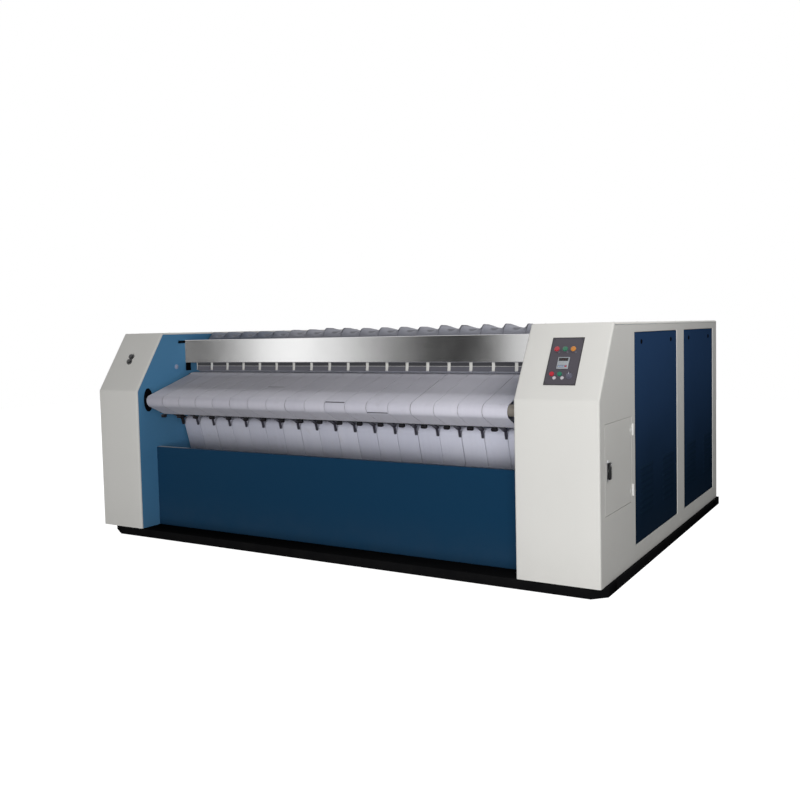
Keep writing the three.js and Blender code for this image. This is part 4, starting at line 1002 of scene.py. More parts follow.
# A path of (y, z, fillet) corners as rows of (y, z, outward y, outward z), the left side outward.
def pathRows(corners, arcSteps, legSteps):
    rows = []
    for k, (y, z, fillet) in enumerate(corners):
        here = Vector((y, z))
        before = Vector(corners[k - 1][:2]) if k else None
        after = Vector(corners[k + 1][:2]) if k + 1 < len(corners) else None
        if before is None or after is None:
            run = (after - here if before is None else here - before).normalized()
            rows.append((y, z, -run.y, run.x))
            continue
        arrive, leave = (here - before).normalized(), (after - here).normalized()
        turn = math.atan2(arrive.x * leave.y - arrive.y * leave.x, arrive.dot(leave))
        start = here - arrive * fillet * math.tan(abs(turn) / 2)
        inward = 1 if turn < 0 else -1
        centre = start - Vector((-arrive.y, arrive.x)) * fillet * inward
        for step in range(arcSteps + 1):
            heading = math.atan2(arrive.y, arrive.x) + turn * step / arcSteps
            out = Vector((-math.sin(heading), math.cos(heading)))
            place = centre + out * fillet * inward
            rows.append((place.x, place.y, out.x, out.y))
    # A long leg is cut into steps, with one more row close to each end that holds the bend.
    longLeg, holdReach = 60, 2.5
    fine = [rows[0]]
    for first, second in zip(rows, rows[1:]):
        length = (Vector(second[:2]) - Vector(first[:2])).length
        stops = [1.0]
        if length > longLeg:
            hold = holdReach / length
            stops = [hold] + [step / legSteps for step in range(1, legSteps)] + [1 - hold, 1.0]
        for t in stops:
            fine.append(tuple(a + (b - a) * t for a, b in zip(first, second)))
    return fine


# A sheet swept along rows; columns are (x, depth below the outer face).
def sweptSheet(rows, columns):
    work = bmesh.new()
    grid = [[work.verts.new((x, y - outY * depth, z - outZ * depth)) for x, depth in columns]
            for y, z, outY, outZ in rows]
    rising = columns[-1][0] > columns[0][0]
    for lower, upper in zip(grid, grid[1:]):
        for k in range(len(columns) - 1):
            corners = (lower[k], lower[k + 1], upper[k + 1], upper[k])
            work.faces.new(corners if rising else corners[::-1])
    mesh = toMesh(work, "sheet")
    return applied(mesh, ("SOLIDIFY", {"thickness": machineSizes["sheet"] * metre, "offset": -1.0,
                                       "use_even_offset": True}),
                   ("BEVEL", {"width": 0.0004, "segments": 1, "limit_method": "ANGLE",
                              "angle_limit": math.radians(60), "harden_normals": True}))


coverSizes = {"innerRadius": 13.0, "outerRadius": 13.0, "kneeFillet": 34.0, "topFillet": 12.0,
              "lip": 3.0, "seam": 1.6, "overlap": 13.0, "screwRoom": 2.2}


def coverColumns(side, width):
    wall, inner, outer = machineSizes["wall"], coverSizes["innerRadius"], coverSizes["outerRadius"]
    edge = wall + width
    columns = [(wall, inner + 1.0)]
    columns += [(wall + inner * (1 - math.cos(t)), inner * (1 - math.sin(t)))
                for t in (math.pi / 2 * k / 5 for k in range(6))]
    columns += [(wall + inner + (width - inner - outer) * k / 4, 0.0) for k in range(1, 4)]
    columns += [(edge - outer * (1 - math.sin(t)), outer * (1 - math.cos(t)))
                for t in (math.pi / 2 * k / 5 for k in range(6))]
    columns += [(edge, outer + coverSizes["lip"])]
    return [(side * x, depth) for x, depth in columns]


def addCovers(label, side, width):
    height, depth, foot = machineSizes["height"], machineSizes["depth"], machineSizes["foot"]
    seam, fold = coverSizes["seam"], coverSizes["topFillet"]
    columns = coverColumns(side, width)
    split = machineSizes["setback"] + coverSizes["overlap"]
    rearSplit = depth - fold - 7
    back = depth - coverSizes["screwRoom"]
    covers = (("front", 5, [(0, foot, 0), (0, machineSizes["knee"], coverSizes["kneeFillet"]),
                            (machineSizes["setback"], height, fold), (split, height, 0)]),
              ("top", 8, [(split + seam, height, 0), (rearSplit, height, 0)]),
              ("rear", 5, [(rearSplit + seam, height, 0), (back, height, fold), (back, foot, 0)]))
    for place, legSteps, corners in covers:
        newPiece(f"{label}_{place}_skin", sweptSheet(pathRows(corners, 6, legSteps), columns), "machine",
                 "ivory_paint", (f"{label}_{place}_cover",), ivory)


# The outline of a cabinet drawn in by an even distance; below, it reaches past the sheets.
def insetOutline(inset):
    knee, height, low = machineSizes["knee"], machineSizes["height"], 20.0
    lean = (1 + slopeOut.y) / slopeUp.y * inset
    kneeHeight = knee - slopeOut.z * inset + slopeUp.z * lean
    climb = (height - inset - knee + slopeOut.z * inset) / slopeUp.z
    back = machineSizes["depth"] - inset
    return [(inset, low), (back, low), (back, height - inset),
            (-slopeOut.y * inset + slopeUp.y * climb, height - inset), (inset, kneeHeight)]


def prismMesh(outline, x0, x1):
    work = bmesh.new()
    low = [work.verts.new((x0, y, z)) for y, z in outline]
    high = [work.verts.new((x1, y, z)) for y, z in outline]
    work.faces.new(low[::-1])
    work.faces.new(high)
    for k in range(len(outline)):
        n = (k + 1) % len(outline)
        work.faces.new((low[k], low[n], high[n], high[k]))
    bmesh.ops.recalc_face_normals(work, faces=work.faces)
    return toMesh(work, "prism")


def trimmed(mesh, cutter):
    tool = linked("cutter", cutter)
    result = applied(mesh, ("BOOLEAN", {"object": tool, "operation": "INTERSECT", "solver": "EXACT"}))
    bpy.data.objects.remove(tool)
    return result


# The outer side sheet and the inner wall of a cabinet, cut to its outline.
def addSides(label, side, width):
    wall = machineSizes["wall"]
    coverEdge = coverSizes["outerRadius"] + coverSizes["lip"] + coverSizes["seam"]
    frameEdge = coverSizes["innerRadius"] + 1.6
    for kind, inset, near, far, bevel, piece, slot, paint in (
            ("side_cover", coverEdge, width - 60, width + 30, 0.7, "side_skin", "ivory_paint", ivory),
            ("side_frame", frameEdge, -10, 40, 0.8, "inner_wall", "wall_blue", wallBlue)):
        node = f"{label}_{kind}"
        cutter = prismMesh(insetOutline(inset), *sorted((side * (wall + near), side * (wall + far))))
        sheet = applied(trimmed(nodeCopy(node), cutter), bevelSettings(bevel), angle=10.0)
        newPiece(f"{label}_{piece}", sheet, "machine", slot, (node,), paint)


# Folded sheets between the cabinets: name, corners (y, z, fillet), steps of a leg, slot, node, paint.
bands = (("fascia_band", [(575, 1354, 0), (545, 1354, 4), (545, 1541, 2.5), (553, 1541, 0)], 2,
          "polished_steel", "fascia_panel", fasciaSteel),
         ("front_panel_skin", [(231, machineSizes["foot"], 0), (191, machineSizes["foot"], 5), (191, 694, 5),
                               (231, 694, 0)], 3, "panel_blue", "front_panel", panelBlue),
         ("rear_panel_skin", [(3108, 1330, 0), (3138, 1330, 5), (3138, machineSizes["foot"], 5),
                              (3108, machineSizes["foot"], 0)], 3, "navy_paint", "rear_panel", navy))


def addBands():
    half = machineSizes["wall"] - 0.6
    spots = [-half, -half + 2.5] + [half * (-1 + 2 * k / 10) for k in range(1, 10)] + [half - 2.5, half]
    columns = [(x, 0.0) for x in spots]
    for name, corners, legSteps, slot, node, paint in bands:
        newPiece(name, sweptSheet(pathRows(corners, 4, legSteps), columns), "machine", slot, (node,), paint)


cabinets = (("left", -1, machineSizes["leftWidth"]), ("right", 1, machineSizes["rightWidth"]))
for label, side, width in cabinets:
    addCovers(label, side, width)
    addSides(label, side, width)
addBands()

print("covers folded")


# A sheet panel facing +X or -X, with square holes and folded edges with rounded corners.
def panelShell(side, face, y0, y1, z0, z1, holes, depth, radius):
    work = bmesh.new()
    acrossCuts = sorted({y0, y1, *(value for hole in holes for value in hole[:2])})
    upCuts = sorted({z0, z1, *(value for hole in holes for value in hole[2:])})
    grid = {(y, z): work.verts.new((face, y, z)) for y in acrossCuts for z in upCuts}
    for ya, yb in zip(acrossCuts, acrossCuts[1:]):
        for za, zb in zip(upCuts, upCuts[1:]):
            middle = ((ya + yb) / 2, (za + zb) / 2)
            if any(h[0] < middle[0] < h[1] and h[2] < middle[1] < h[3] for h in holes):
                continue
            corners = [grid[ya, za], grid[yb, za], grid[yb, zb], grid[ya, zb]]
            work.faces.new(corners if side > 0 else corners[::-1])
    for vertex in [v for v in work.verts if not v.link_faces]:
        work.verts.remove(vertex)
    rim = [edge for edge in work.edges if edge.is_boundary and all(
        v.co.y in (y0, y1) or v.co.z in (z0, z1) for v in edge.verts) and (
        abs(edge.verts[0].co.y - edge.verts[1].co.y) < 1e-6 and edge.verts[0].co.y in (y0, y1)
        or abs(edge.verts[0].co.z - edge.verts[1].co.z) < 1e-6 and edge.verts[0].co.z in (z0, z1))]
    folded = bmesh.ops.extrude_edge_only(work, edges=rim)
    for vertex in [g for g in folded["geom"] if isinstance(g, bmesh.types.BMVert)]:
        vertex.co.x -= side * depth
    bmesh.ops.remove_doubles(work, verts=work.verts, dist=0.01)
    bmesh.ops.recalc_face_normals(work, faces=work.faces)
    front = max(work.faces, key=lambda f: f.calc_area())
    if front.normal.x * side < 0:
        bmesh.ops.reverse_faces(work, faces=work.faces)
    sharp = [e for e in work.edges if len(e.link_faces) == 2 and e.calc_face_angle() > 1.0]
    bmesh.ops.bevel(work, geom=sharp, offset=radius, segments=3, profile=0.5, affect="EDGES")
    mesh = toMesh(work, "panel", 10.0)
    return applied(mesh, ("SOLIDIFY", {"thickness": 0.002, "offset": -1.0}), angle=10.0)


louvreSizes = {"bottom": 170.0, "top": 1540.0, "ranges": ((697.0, 1779.0), (1985.0, 2998.0)),
               "centres": ((975.0, 1532.0), (2228.0, 2810.0)), "gap": 2.5, "width": 292.0, "height": 9.0,
               "pitch": 42.0, "count": 8, "first": 350.0, "proud": 5.7, "hood": 21.0, "inset": -3.7,
               "fold": 17.0, "bend": 3.5}
louvreKnob = {"drop": 62.0, "inset": 165.0}


# A pressed hood over one slot, in its own frame: X across, Y up, Z out, in millimetres.
def hoodMesh():
    work = bmesh.new()
    half, tall, proud = louvreSizes["width"] / 2 + 5, louvreSizes["hood"], louvreSizes["proud"]
    across = [-half, -half + 2.5, -half + 6, -half + 11, -half + 20, -half / 3, half / 3, half - 20,
              half - 11, half - 6, half - 2.5, half]
    grid = []
    for k in range(7):
        t = k / 6
        row = []
        for x in across:
            end = min(1.0, max(0.0, (half - abs(x)) / 20))
            rise = proud * math.sin(t * math.pi / 2) ** 0.9 * math.sqrt(max(0.0, 1 - (1 - end) ** 2))
            row.append(work.verts.new((x, tall * (1 - t), rise + 0.05)))
        grid.append(row)
    for upper, lower in zip(grid, grid[1:]):
        for k in range(len(across) - 1):
            work.faces.new((lower[k], lower[k + 1], upper[k + 1], upper[k]))
    for vertex in work.verts:
        vertex.co *= metre
    bmesh.ops.recalc_face_normals(work, faces=work.faces)
    if sum(face.normal.z for face in work.faces) < 0:
        bmesh.ops.reverse_faces(work, faces=work.faces)
    return applied(toMesh(work, "hood", 40.0, False),
                   ("SOLIDIFY", {"thickness": 0.0012, "offset": -1.0}), angle=40.0)


def turnKnob():
    disc = roundPart([(0, 16.0), (1.4, 16.0), (2.2, 15.0), (2.2, 12.6), (4.2, 12.2), (4.9, 11.0), (5.0, 9.0),
                      (5.0, 0)], 28)
    return joined("turn knob", [disc, localBox(-11.5, 11.5, -2.2, 2.2, 1.0, 5.8, 0.9)])


def addLouvrePanel(label, side, width, k):
    sizes = louvreSizes
    gap = sizes["gap"]
    face = side * (machineSizes["wall"] + width + sizes["inset"])
    y0, y1 = sizes["ranges"][k][0] + gap, sizes["ranges"][k][1] - gap
    z0, z1 = sizes["bottom"] + gap, sizes["top"] - gap
    slots, spots = [], []
    out = rightFacing if side > 0 else leftFacing
    for centre in sizes["centres"][k]:
        for row in range(sizes["count"]):
            foot = sizes["first"] + row * sizes["pitch"]
            slots.append((centre - sizes["width"] / 2, centre + sizes["width"] / 2, foot,
                          foot + sizes["height"]))
            spots.append(((face, centre, foot - 3), out, Vector((0, side, 0))))
    shell = dressed(panelShell(side, face, y0, y1, z0, z1, slots, sizes["fold"], sizes["bend"]), navy)
    # The hoods wear the darker copy of the navy: painted shade.
    hoods = scattered(hoodMesh(), spots, hoodShadedNavy, angle=40.0)
    node = f"{label}_{'rear' if k else 'front'}_louvre_panel"
    newPiece(node + "_skin", [shell, hoods], "machine", "navy_paint", (node,))
    knobs = [((face, y, z1 - louvreKnob["drop"]), out, Vector((0, side * 0.7, 0.7)))
             for y in (y0 + louvreKnob["inset"], y1 - louvreKnob["inset"])]
    newPiece(node + "_knobs", scattered(turnKnob(), knobs, chassisBlack), "machine", "black_plastic")


for label, side, width in cabinets:
    for k in (0, 1):
        addLouvrePanel(label, side, width, k)

print("louvre panels made")


# ---- door, hinges and latch

doorSizes = {"y0": 90.0, "y1": 622.0, "z0": 468.0, "z1": 1012.0, "gap": 2.5, "face": 2130.0,
             "hinges": {"lower": 544.0, "upper": 928.0}, "hingeLength": 72.0, "barrel": 7.0,
             "pin": 3.2, "leafWidth": 33.0, "leaf": 2.0}
latchSizes = {"y": 150.0, "z": 734.0, "length": 102.0, "width": 26.0, "standoff": 4.0, "height": 16.0}


# A hinge knuckle: an upright cylinder at (x, y) from z0 to z1.
def barrel(z0, z1, x, y, radius):
    profile = [(z0, 0), (z0, radius - 1), (z0 + 1, radius), (z1 - 1, radius), (z1, radius - 1), (z1, 0)]
    return localMesh(roundPart(profile), Vector((x, y, 0)) - machineOrigin)


def addDoor():
    face, gap, thick = doorSizes["face"], doorSizes["gap"], doorSizes["leaf"]
    axisX, axisY, radius = face + 0.3 + doorSizes["barrel"], doorSizes["y1"], doorSizes["barrel"]
    half, third = doorSizes["hingeLength"] / 2, doorSizes["hingeLength"] / 3
    y0, y1, z0, z1 = (doorSizes["y0"] + gap, doorSizes["y1"] - gap, doorSizes["z0"] + gap,
                      doorSizes["z1"] - gap)
    shell = dressed(panelShell(1, face, y0, y1, z0, z1, (), 13.0, 3.0), ivory)
    stiffener = box(ivory, face - 12, face - 2.6, y0 + 60, y0 + 84, z0 + 30, z1 - 30, 1.5)
    leaves, spots = [], []
    for z in doorSizes["hinges"].values():
        low, high = z - third / 2 + 0.4, z + third / 2 - 0.4
        leaves += [
            box(hingeWhite, face - 0.5, face + thick, y1 - doorSizes["leafWidth"], y1 - 0.3, low, high, 0.5),
            box(hingeWhite, face + 0.1, axisX, axisY - 6.6, axisY - 3.4, low, high, 0.4),
            box(hingeWhite, face + 0.1, face + 2.0, y1 - 5, axisY - 3.4, low, high, 0.3),
            dressed(barrel(low, high, axisX, axisY, radius), hingeWhite)]
        spots += [((face + thick, y1 - 22, z + dz), rightFacing, upFacing) for dz in (-7, 7)]
    newPiece("electrical_door_skin", [shell, stiffener] + leaves + [screws((4.0, 2.2), spots, zinc, 3)],
             "door", "ivory_paint", ("electrical_door",))
    for name, z in doorSizes["hinges"].items():
        parts = [box(hingeWhite, face + 0.3, face + 2.3, axisY + 4, axisY + 34, z - half, z + half, 0.5)]
        for low, high in ((z - half, z - third / 2), (z + third / 2, z + half)):
            parts += [dressed(barrel(low, high, axisX, axisY, radius), hingeWhite),
                      box(hingeWhite, face + 0.3, axisX, axisY + 1, axisY + 6, low, high, 0.4)]
        pin = barrel(z - half - 1.2, z + half + 1.2, axisX, axisY, doorSizes["pin"])
        parts.append(dressed(pin, hingeWhite))
        spots = [((face + 2.3, axisY + 22, z + dz), rightFacing, upFacing) for dz in (-25, 0, 25)]
        newPiece(f"door_hinge_{name}_leaf", parts + [screws((4.2, 2.4), spots, zinc, 5)], "machine", "zinc",
                 (f"door_hinge_{name}",))


def addLatch():
    face, y, z = doorSizes["face"], latchSizes["y"], latchSizes["z"]
    spots = [((face + 2.0, y, z + dz), rightFacing, upFacing) for dz in (-56, 56)]
    newPiece("latch_escutcheon", [box(zinc, face + 0.05, face + 2.0, y - 24, y + 24, z - 62, z + 62, 0.8),
                                  screws((3.4, 2.0), spots, zinc, 8)], "door", "zinc")
    back = face + latchSizes["standoff"]
    front = back + latchSizes["height"]
    half, wide = latchSizes["length"] / 2, latchSizes["width"] / 2
    cylinder = turned([(back + 12, 0), (back + 12, 9), (back + 15.4, 9), (back + 15.8, 8), (back + 15.8, 0)],
                      y, z + half - 17, 32)
    stem = turned([(face - 24, 0), (face - 24, 7.6), (back + 1, 7.6), (back + 1, 0)], y, z, 24)
    newPiece("door_latch_handle", [
        box(blackPlastic, back, front - 1, y - wide, y + wide, z - half, z + half, 6.0, 4),
        box(blackRubber, front - 2.5, front - 0.2, y - 6, y + 6, z - half + 16, z + half - 34, 1.0),
        dressed(cylinder, zinc), dressed(stem, zinc),
        box(zinc, face - 24, face - 21.2, y - 11, y + 11, z - 60, z + 11, 1.2)],
        "latch", "black_plastic", ("door_latch",))


addDoor()
addLatch()

print("door hung")


# ---- controls on the slopes: x, v up the slope from the knee, w out of the cover

def slopeSpot(x, v, w):
    return Vector((x, 0, machineSizes["knee"])) + slopeUp * v + slopeOut * w


def slopeSpots(places, w):
    return [(slopeSpot(x, v, w), slopeOut, slopeUp) for x, v in places]


def onSlope(mesh, x=0.0, v=0.0, w=0.0):
    work = bmesh.new()
    work.from_mesh(mesh)
    for vertex in work.verts:
        local = vertex.co / metre
        vertex.co = slopeSpot(local.x + x, local.y + v, local.z + w)
    return toMesh(work, "on slope")


def slopeBox(material, *sizes):
    return dressed(onSlope(localBox(*sizes)), material)


plateSizes = {"x0": 1769.0, "x1": 1969.0, "v0": 102.0, "v1": 432.0, "front": 3.3, "rim": 5.0,
              "lamps": (1811.0, 1863.0, 1914.0), "lampRow": 348.0, "buttons": (1813.0, 1862.0),
              "buttonRow": 173.0, "knob": (1921.0, 164.0), "controller": (1868.0, 251.0, 72.0, 80.0)}
leftButtonX = -1821.0

# Round parts on the slopes as (height, radius) pairs.
slopeProfiles = {
    "lampRing": [(0, 12.5), (0, 18.5), (2.5, 18.5), (4.2, 17.2), (4.6, 15.6), (3.2, 14.4), (2.4, 13.2),
                 (0.4, 12.5)],
    "dome": [(4.7, 13.0), (4.7, 17.0), (8.0, 17.0), (10.2, 15.6), (12.0, 12.0), (13.0, 7.0), (13.3, 0)],
    "collar": [(0, 15.3), (0, 19), (2.6, 19), (4.0, 18.0), (4.4, 16.4), (3.6, 15.8), (2.2, 15.3)],
    "cap": [(-10.0, 0), (-10.0, 8.5), (5.4, 8.5), (5.4, 13.8), (6.0, 14.6), (11.4, 14.6), (12.6, 13.6),
            (12.8, 12.0), (12.2, 7.0), (12.0, 0)],
    "disc": [(0, 6.4), (0.6, 6.4), (1.0, 6.0), (1.0, 0)],
    "tag": [(0, 0), (0, 11), (1.2, 11), (1.8, 10), (1.8, 0)],
    "leftRing": [(0.1, 21.3), (0.1, 24), (3.0, 24), (5.0, 22.8), (5.2, 21.6), (3.0, 21.3)],
    "leftCap": [(-10.0, 0), (-10.0, 8.6), (6.2, 8.6), (6.2, 19.0), (7.4, 20.6), (15.0, 20.6), (17.6, 19.0),
                (18.4, 16.0), (18.2, 8.0), (18.0, 0)],
    "knob": [(0.4, 0), (0.4, 20.4), (2.2, 20.8), (4.0, 20.0), (5.0, 16.6), (14.0, 14.8), (15.6, 13.6),
             (16.0, 11.0), (15.6, 0)]}


def addPlate():
    s = plateSizes
    x0, x1, v0, v1, front, rim = (s[key] for key in ("x0", "x1", "v0", "v1", "front", "rim"))
    lamps = [(x, s["lampRow"]) for x in s["lamps"]]
    buttons = [(x, s["buttonRow"]) for x in s["buttons"]]
    corners = [(x, v) for x in (x0 + 13, x1 - 13) for v in (v0 + 13, v1 - 13)]
    parts = [slopeBox(plateGrey, x0, x1, v0, v1, 0.3, front, 1.2)]
    for xa, xb, va, vb in ((x0 + 1, x1 - 1, v0 + 1, v0 + rim), (x0 + 1, x1 - 1, v1 - rim, v1 - 1),
                           (x0 + 1, x0 + rim, v0 + rim, v1 - rim), (x1 - rim, x1 - 1, v0 + rim, v1 - rim)):
        parts.append(slopeBox(blackPlastic, xa, xb, va, vb, front - 0.2, front + 0.9, 0.4, 1))
    parts.append(screws((4.2, 2.2), slopeSpots(corners, front), guardDark, 2))
    # The discs beside the lamps and the tags beside the buttons are blank legends set where the bezels show a
    # bright spot: partly a painted highlight.
    for profile, steps, places, paint in (
            ("lampRing", 32, lamps, guardGrey), ("collar", 32, buttons, guardGrey),
            ("disc", 24, [(x + 17, v - 20) for x, v in lamps], guardGrey),
            ("tag", 28, [(x + 17, v - 22) for x, v in buttons], tagAndHighlightWhite)):
        part = roundPart(slopeProfiles[profile], steps)
        parts.append(scattered(part, slopeSpots(places, front), paint))
    x, v = s["knob"]
    ticks = []
    for k in range(11):
        angle = math.radians(-135 + 27 * k)
        across, up = math.sin(angle), math.cos(angle)
        ticks.append((slopeSpot(x + across * 27, v + up * 27, front - 0.1), slopeOut,
                      rightFacing * across + slopeUp * up))
    parts.append(scattered(localBox(-3.2, 3.2, -0.7, 0.7, 0, 0.5), ticks, guardGrey))
    newPiece("control_plate_panel", parts, "machine", "black_plastic", ("control_plate",))


def addLamps():
    for colour, x, material in zip(("red", "green", "amber"), plateSizes["lamps"],
                                   (redLens, greenLens, amberLens)):
        mesh = onSlope(roundPart(slopeProfiles["dome"], 32), x, plateSizes["lampRow"], plateSizes["front"])
        newPiece(colour + "_lamp_dome", mesh, "machine", colour + "_plastic", (colour + "_lamp",), material)


def addButtons():
    row, front = plateSizes["buttonRow"], plateSizes["front"]
    stopX, startX = plateSizes["buttons"]
    leftV = {"left_lower_button": 265.0, "left_upper_button": 311.0}
    for name, profile, steps, x, v, w, material, slot in (
            ("stop_button", "cap", 32, stopX, row, front, redPlastic, "red_plastic"),
            ("start_button", "cap", 32, startX, row, front, greenPlastic, "green_plastic"),
            *((name, "leftCap", 36, leftButtonX, v, 0.0, blackPlastic, "black_plastic")
              for name, v in leftV.items())):
        mesh = onSlope(roundPart(slopeProfiles[profile], steps), x, v, w)
        newPiece(name + "_cap", mesh, name, slot, (name,), material)
    ring = roundPart(slopeProfiles["leftRing"], 32)
    spots = slopeSpots([(leftButtonX, v) for v in leftV.values()], 0.0)
    newPiece("left_button_rings", scattered(ring, spots, blackRubber), "machine", "black_plastic")


# Bars of a digit as (side, level, lies flat), and the bars that each digit uses.
segmentBars = {"top": (0, 2, 1), "middle": (0, 1, 1), "bottom": (0, 0, 1), "upperLeft": (-1, 1.5, 0),
               "upperRight": (1, 1.5, 0), "lowerLeft": (-1, 0.5, 0), "lowerRight": (1, 0.5, 0)}
digitShapes = {"1": ("upperRight", "lowerRight"),
               "6": ("top", "middle", "bottom", "upperLeft", "lowerLeft", "lowerRight"),
               "0": ("top", "bottom", "upperLeft", "upperRight", "lowerLeft", "lowerRight")}


def addController():
    x, v, width, height = plateSizes["controller"]
    front = plateSizes["front"]
    x0, x1, v0, v1 = x - width / 2, x + width / 2, v - height / 2, v + height / 2
    parts = [slopeBox(shellGrey, x0, x1, v0, v1, front + 0.3, front + 7.2, 2.2, 3),
             slopeBox(blackPlastic, x0 + 3, x1 - 3, v0 + 3, v1 - 3, front - 60, front + 2),
             slopeBox(glassBlack, x0 + 6, x1 - 6, v + 12, v1 - 6, front + 6.6, front + 7.5, 0.4),
             slopeBox(keyGrey, x0 + 6, x1 - 6, v0 + 7, v - 15, front + 6.8, front + 7.4, 0.3)]
    size, bar = 6.2, 0.8
    for k, digit in enumerate("160"):
        middle = x - 13 + k * 13
        for name in digitShapes[digit]:
            side, level, flat = segmentBars[name]
            cx, cv = middle + side * size / 2, v + 16.5 + level * size
            dx, dv = (size / 2 - 0.6, bar) if flat else (bar, size / 2 - 0.6)
            parts.append(slopeBox(digitRed, cx - dx, cx + dx, cv - dv, cv + dv, front + 7.4, front + 7.7))
    for k in range(4):
        key = x - 21 + k * 14
        parts.append(slopeBox(redPlastic if k == 3 else keyBlue, key - 5, key + 5, v0 + 11, v0 + 20,
                              front + 7.2, front + 8.2, 0.8))
    for k in range(3):
        dot = x - 20 + k * 20
        parts.append(slopeBox(greenPlastic if k else digitRed, dot - 1.4, dot + 1.4, v + 2, v + 4.8,
                              front + 7.1, front + 7.6))
    newPiece("temperature_controller_unit", parts, "machine", "grey_plastic", ("temperature_controller",))


def addKnob():
    place = (*plateSizes["knob"], plateSizes["front"])
    body = roundPart(slopeProfiles["knob"], 36)
    grip = localBox(-3.4, 3.4, -15.5, 18.5, 5.0, 18.6, 1.6, 3)
    line = localBox(-0.7, 0.7, 3.0, 17.0, 18.3, 19.0, 0.2, 1)
    parts = [dressed(onSlope(mesh, *place), material)
             for mesh, material in ((body, knobGrey), (grip, knobGrey), (line, whitePlastic))]
    newPiece("speed_knob_grip", parts, "speed_knob", "grey_plastic", ("speed_knob",))


addPlate()
addLamps()
addButtons()
addController()
addKnob()

print("controls fitted")


# ---- guard, nip cover and stripper comb

combSizes = {"bar": (250.0, 976.0, 16.0), "rod": (330.0, 972.0, 9.0), "width": 42.0, "thickness": 9.0,
             "dip": (404.0, 934.0), "knee": (460.0, 908.0), "tip": (474.0, 848.0), "kneeFillet": 26.0,
             "taper": 0.62, "head": (246.0, 939.0), "leftEnd": -1576.0, "leftEndTaper": 0.8,
             "elbow": (280.0, 942.0), "armShift": -11.0}


# A bar of even thickness along a path of (y, z, fillet) corners, about X = 0; taper narrows its end.
def barMesh(corners, width, thickness, taper=0.0):
    half, deep = width / 2, thickness / 2
    rows = pathRows(corners, 6, 3)
    work = bmesh.new()
    rings = []
    for k, (y, z, outY, outZ) in enumerate(rows):
        share = 1 - taper * easedStep(k / (len(rows) - 1), 0.7, 1.0)
        ring = []
        for x, d in ((-half, -deep + 1), (-half + 1, -deep), (half - 1, -deep), (half, -deep + 1),
                     (half, deep - 1), (half - 1, deep), (-half + 1, deep), (-half, deep - 1)):
            ring.append(work.verts.new((x * share, y + outY * d, z + outZ * d)))
        rings.append(ring)
    for first, second in zip(rings, rings[1:]):
        for n in range(8):
            m = (n + 1) % 8
            work.faces.new((first[n], first[m], second[m], second[n]))
    work.faces.new(rings[0])
    work.faces.new(rings[-1])
    bmesh.ops.recalc_face_normals(work, faces=work.faces)
    return localMesh(toMesh(work, "bar"))


guardSizes = {"y": 660.0, "low": 1286.0, "split": 1322.0, "high": 1353.0, "gap": 25.0, "slot": 2.8,
              "sheet": 3.0}
nipCover = (-1596, 1596, 554, 768, 1537.5, 1539.5)


# The finger guard in front of the nip: two dark plates per lane, one above the other, on a bright strip.
# Painted shade: the plates are dark where the belts at the nip lie in shade, the upper ones darker than the
# lower for the fascia's shadow; the ivory strip shows bright in the gaps as painted light.
def addGuard():
    s = guardSizes
    wide = ironingBelt["pitch"] - s["gap"]
    y, above, below = s["y"], s["split"] + s["slot"] / 2, s["split"] - s["slot"] / 2
    upper = barMesh([(y, above, 0), (y, s["high"], 0)], wide, s["sheet"])
    lower = barMesh([(y - 6, s["low"], 0), (y - 1, below, 0)], wide, s["sheet"])
    count, pitch, centre = ironingBelt["count"], ironingBelt["pitch"], ironingBelt["centre"]
    spots = acrossSpots(centre + (k + 0.5 - count / 2) * pitch for k in range(count))
    reach = count * pitch / 2
    strip = box(ivory, centre - reach, centre + reach, y + 1.6, y + 3.6, s["low"] + 2, s["high"] + 3, 0.5)
    newPiece("nip_guard", [strip, scattered(upper, spots, guardDark), scattered(lower, spots, guardGrey)],
             "machine", "black_paint")


def addComb():
    s = combSizes
    half = machineSizes["wall"] - 0.6
    parts = [turned([(-half, 0), (-half, r), (half, r), (half, 0)], y, z, 28)
             for y, z, r in (s["bar"], s["rod"])]
    parts += [boxMesh(*sorted((side * half, side * (half - 8))), 250, 330, 967, 985, 3.0) for side in (-1, 1)]
    start = (*s["rod"][:2], 0)
    path = [start, (*s["dip"], 12.0), (*s["knee"], s["kneeFillet"]), (*s["tip"], 0)]
    finger = barMesh(path, s["width"], s["thickness"], s["taper"])
    endFinger = barMesh(path, s["width"] * 2.3, s["thickness"] * 1.4, s["leftEndTaper"])
    headY, headZ = s["head"]
    arm = barMesh([start, (*s["elbow"], 8.0), (headY, headZ, 0)], 7.0, 6.0)
    for vertex in arm.vertices:
        vertex.co.x += s["armShift"] * metre
    head = localBox(-22, 22, headY - 15, headY + 15, headZ - 14, headZ + 12, 10.0, 4)
    edges = [feedBelt["centre"] - feedBelt["count"] * feedBelt["pitch"] / 2] + laneLines(feedBelt)
    newPiece("stripper_comb_bar", [dressed(mesh, combBlack) for mesh in parts] + [
        scattered(finger, acrossSpots(laneLines(ironingBelt)), combGrey),
        scattered(endFinger, acrossSpots([s["leftEnd"]]), combBlack),
        scattered(joined("comb arm", [arm, head]), acrossSpots(edges), combBlack)],
        "machine", "black_paint", ("stripper_comb",))


addGuard()
newPiece("nip_cover", boxMesh(*nipCover, 0.6), "machine", "navy_paint", (), navy)
addComb()

print("comb made")


# ---- drums, rollers and bearings

shaftSizes = {"bearingBack": 1612.3, "bearingFront": 1682.3, "pulleyInner": 1694.3, "pulleyOuter": 1754.3}
chainSizes = {"x": -1724.0, "outer": -1736.0, "inner": -1712.0, "pitch": 31.75}


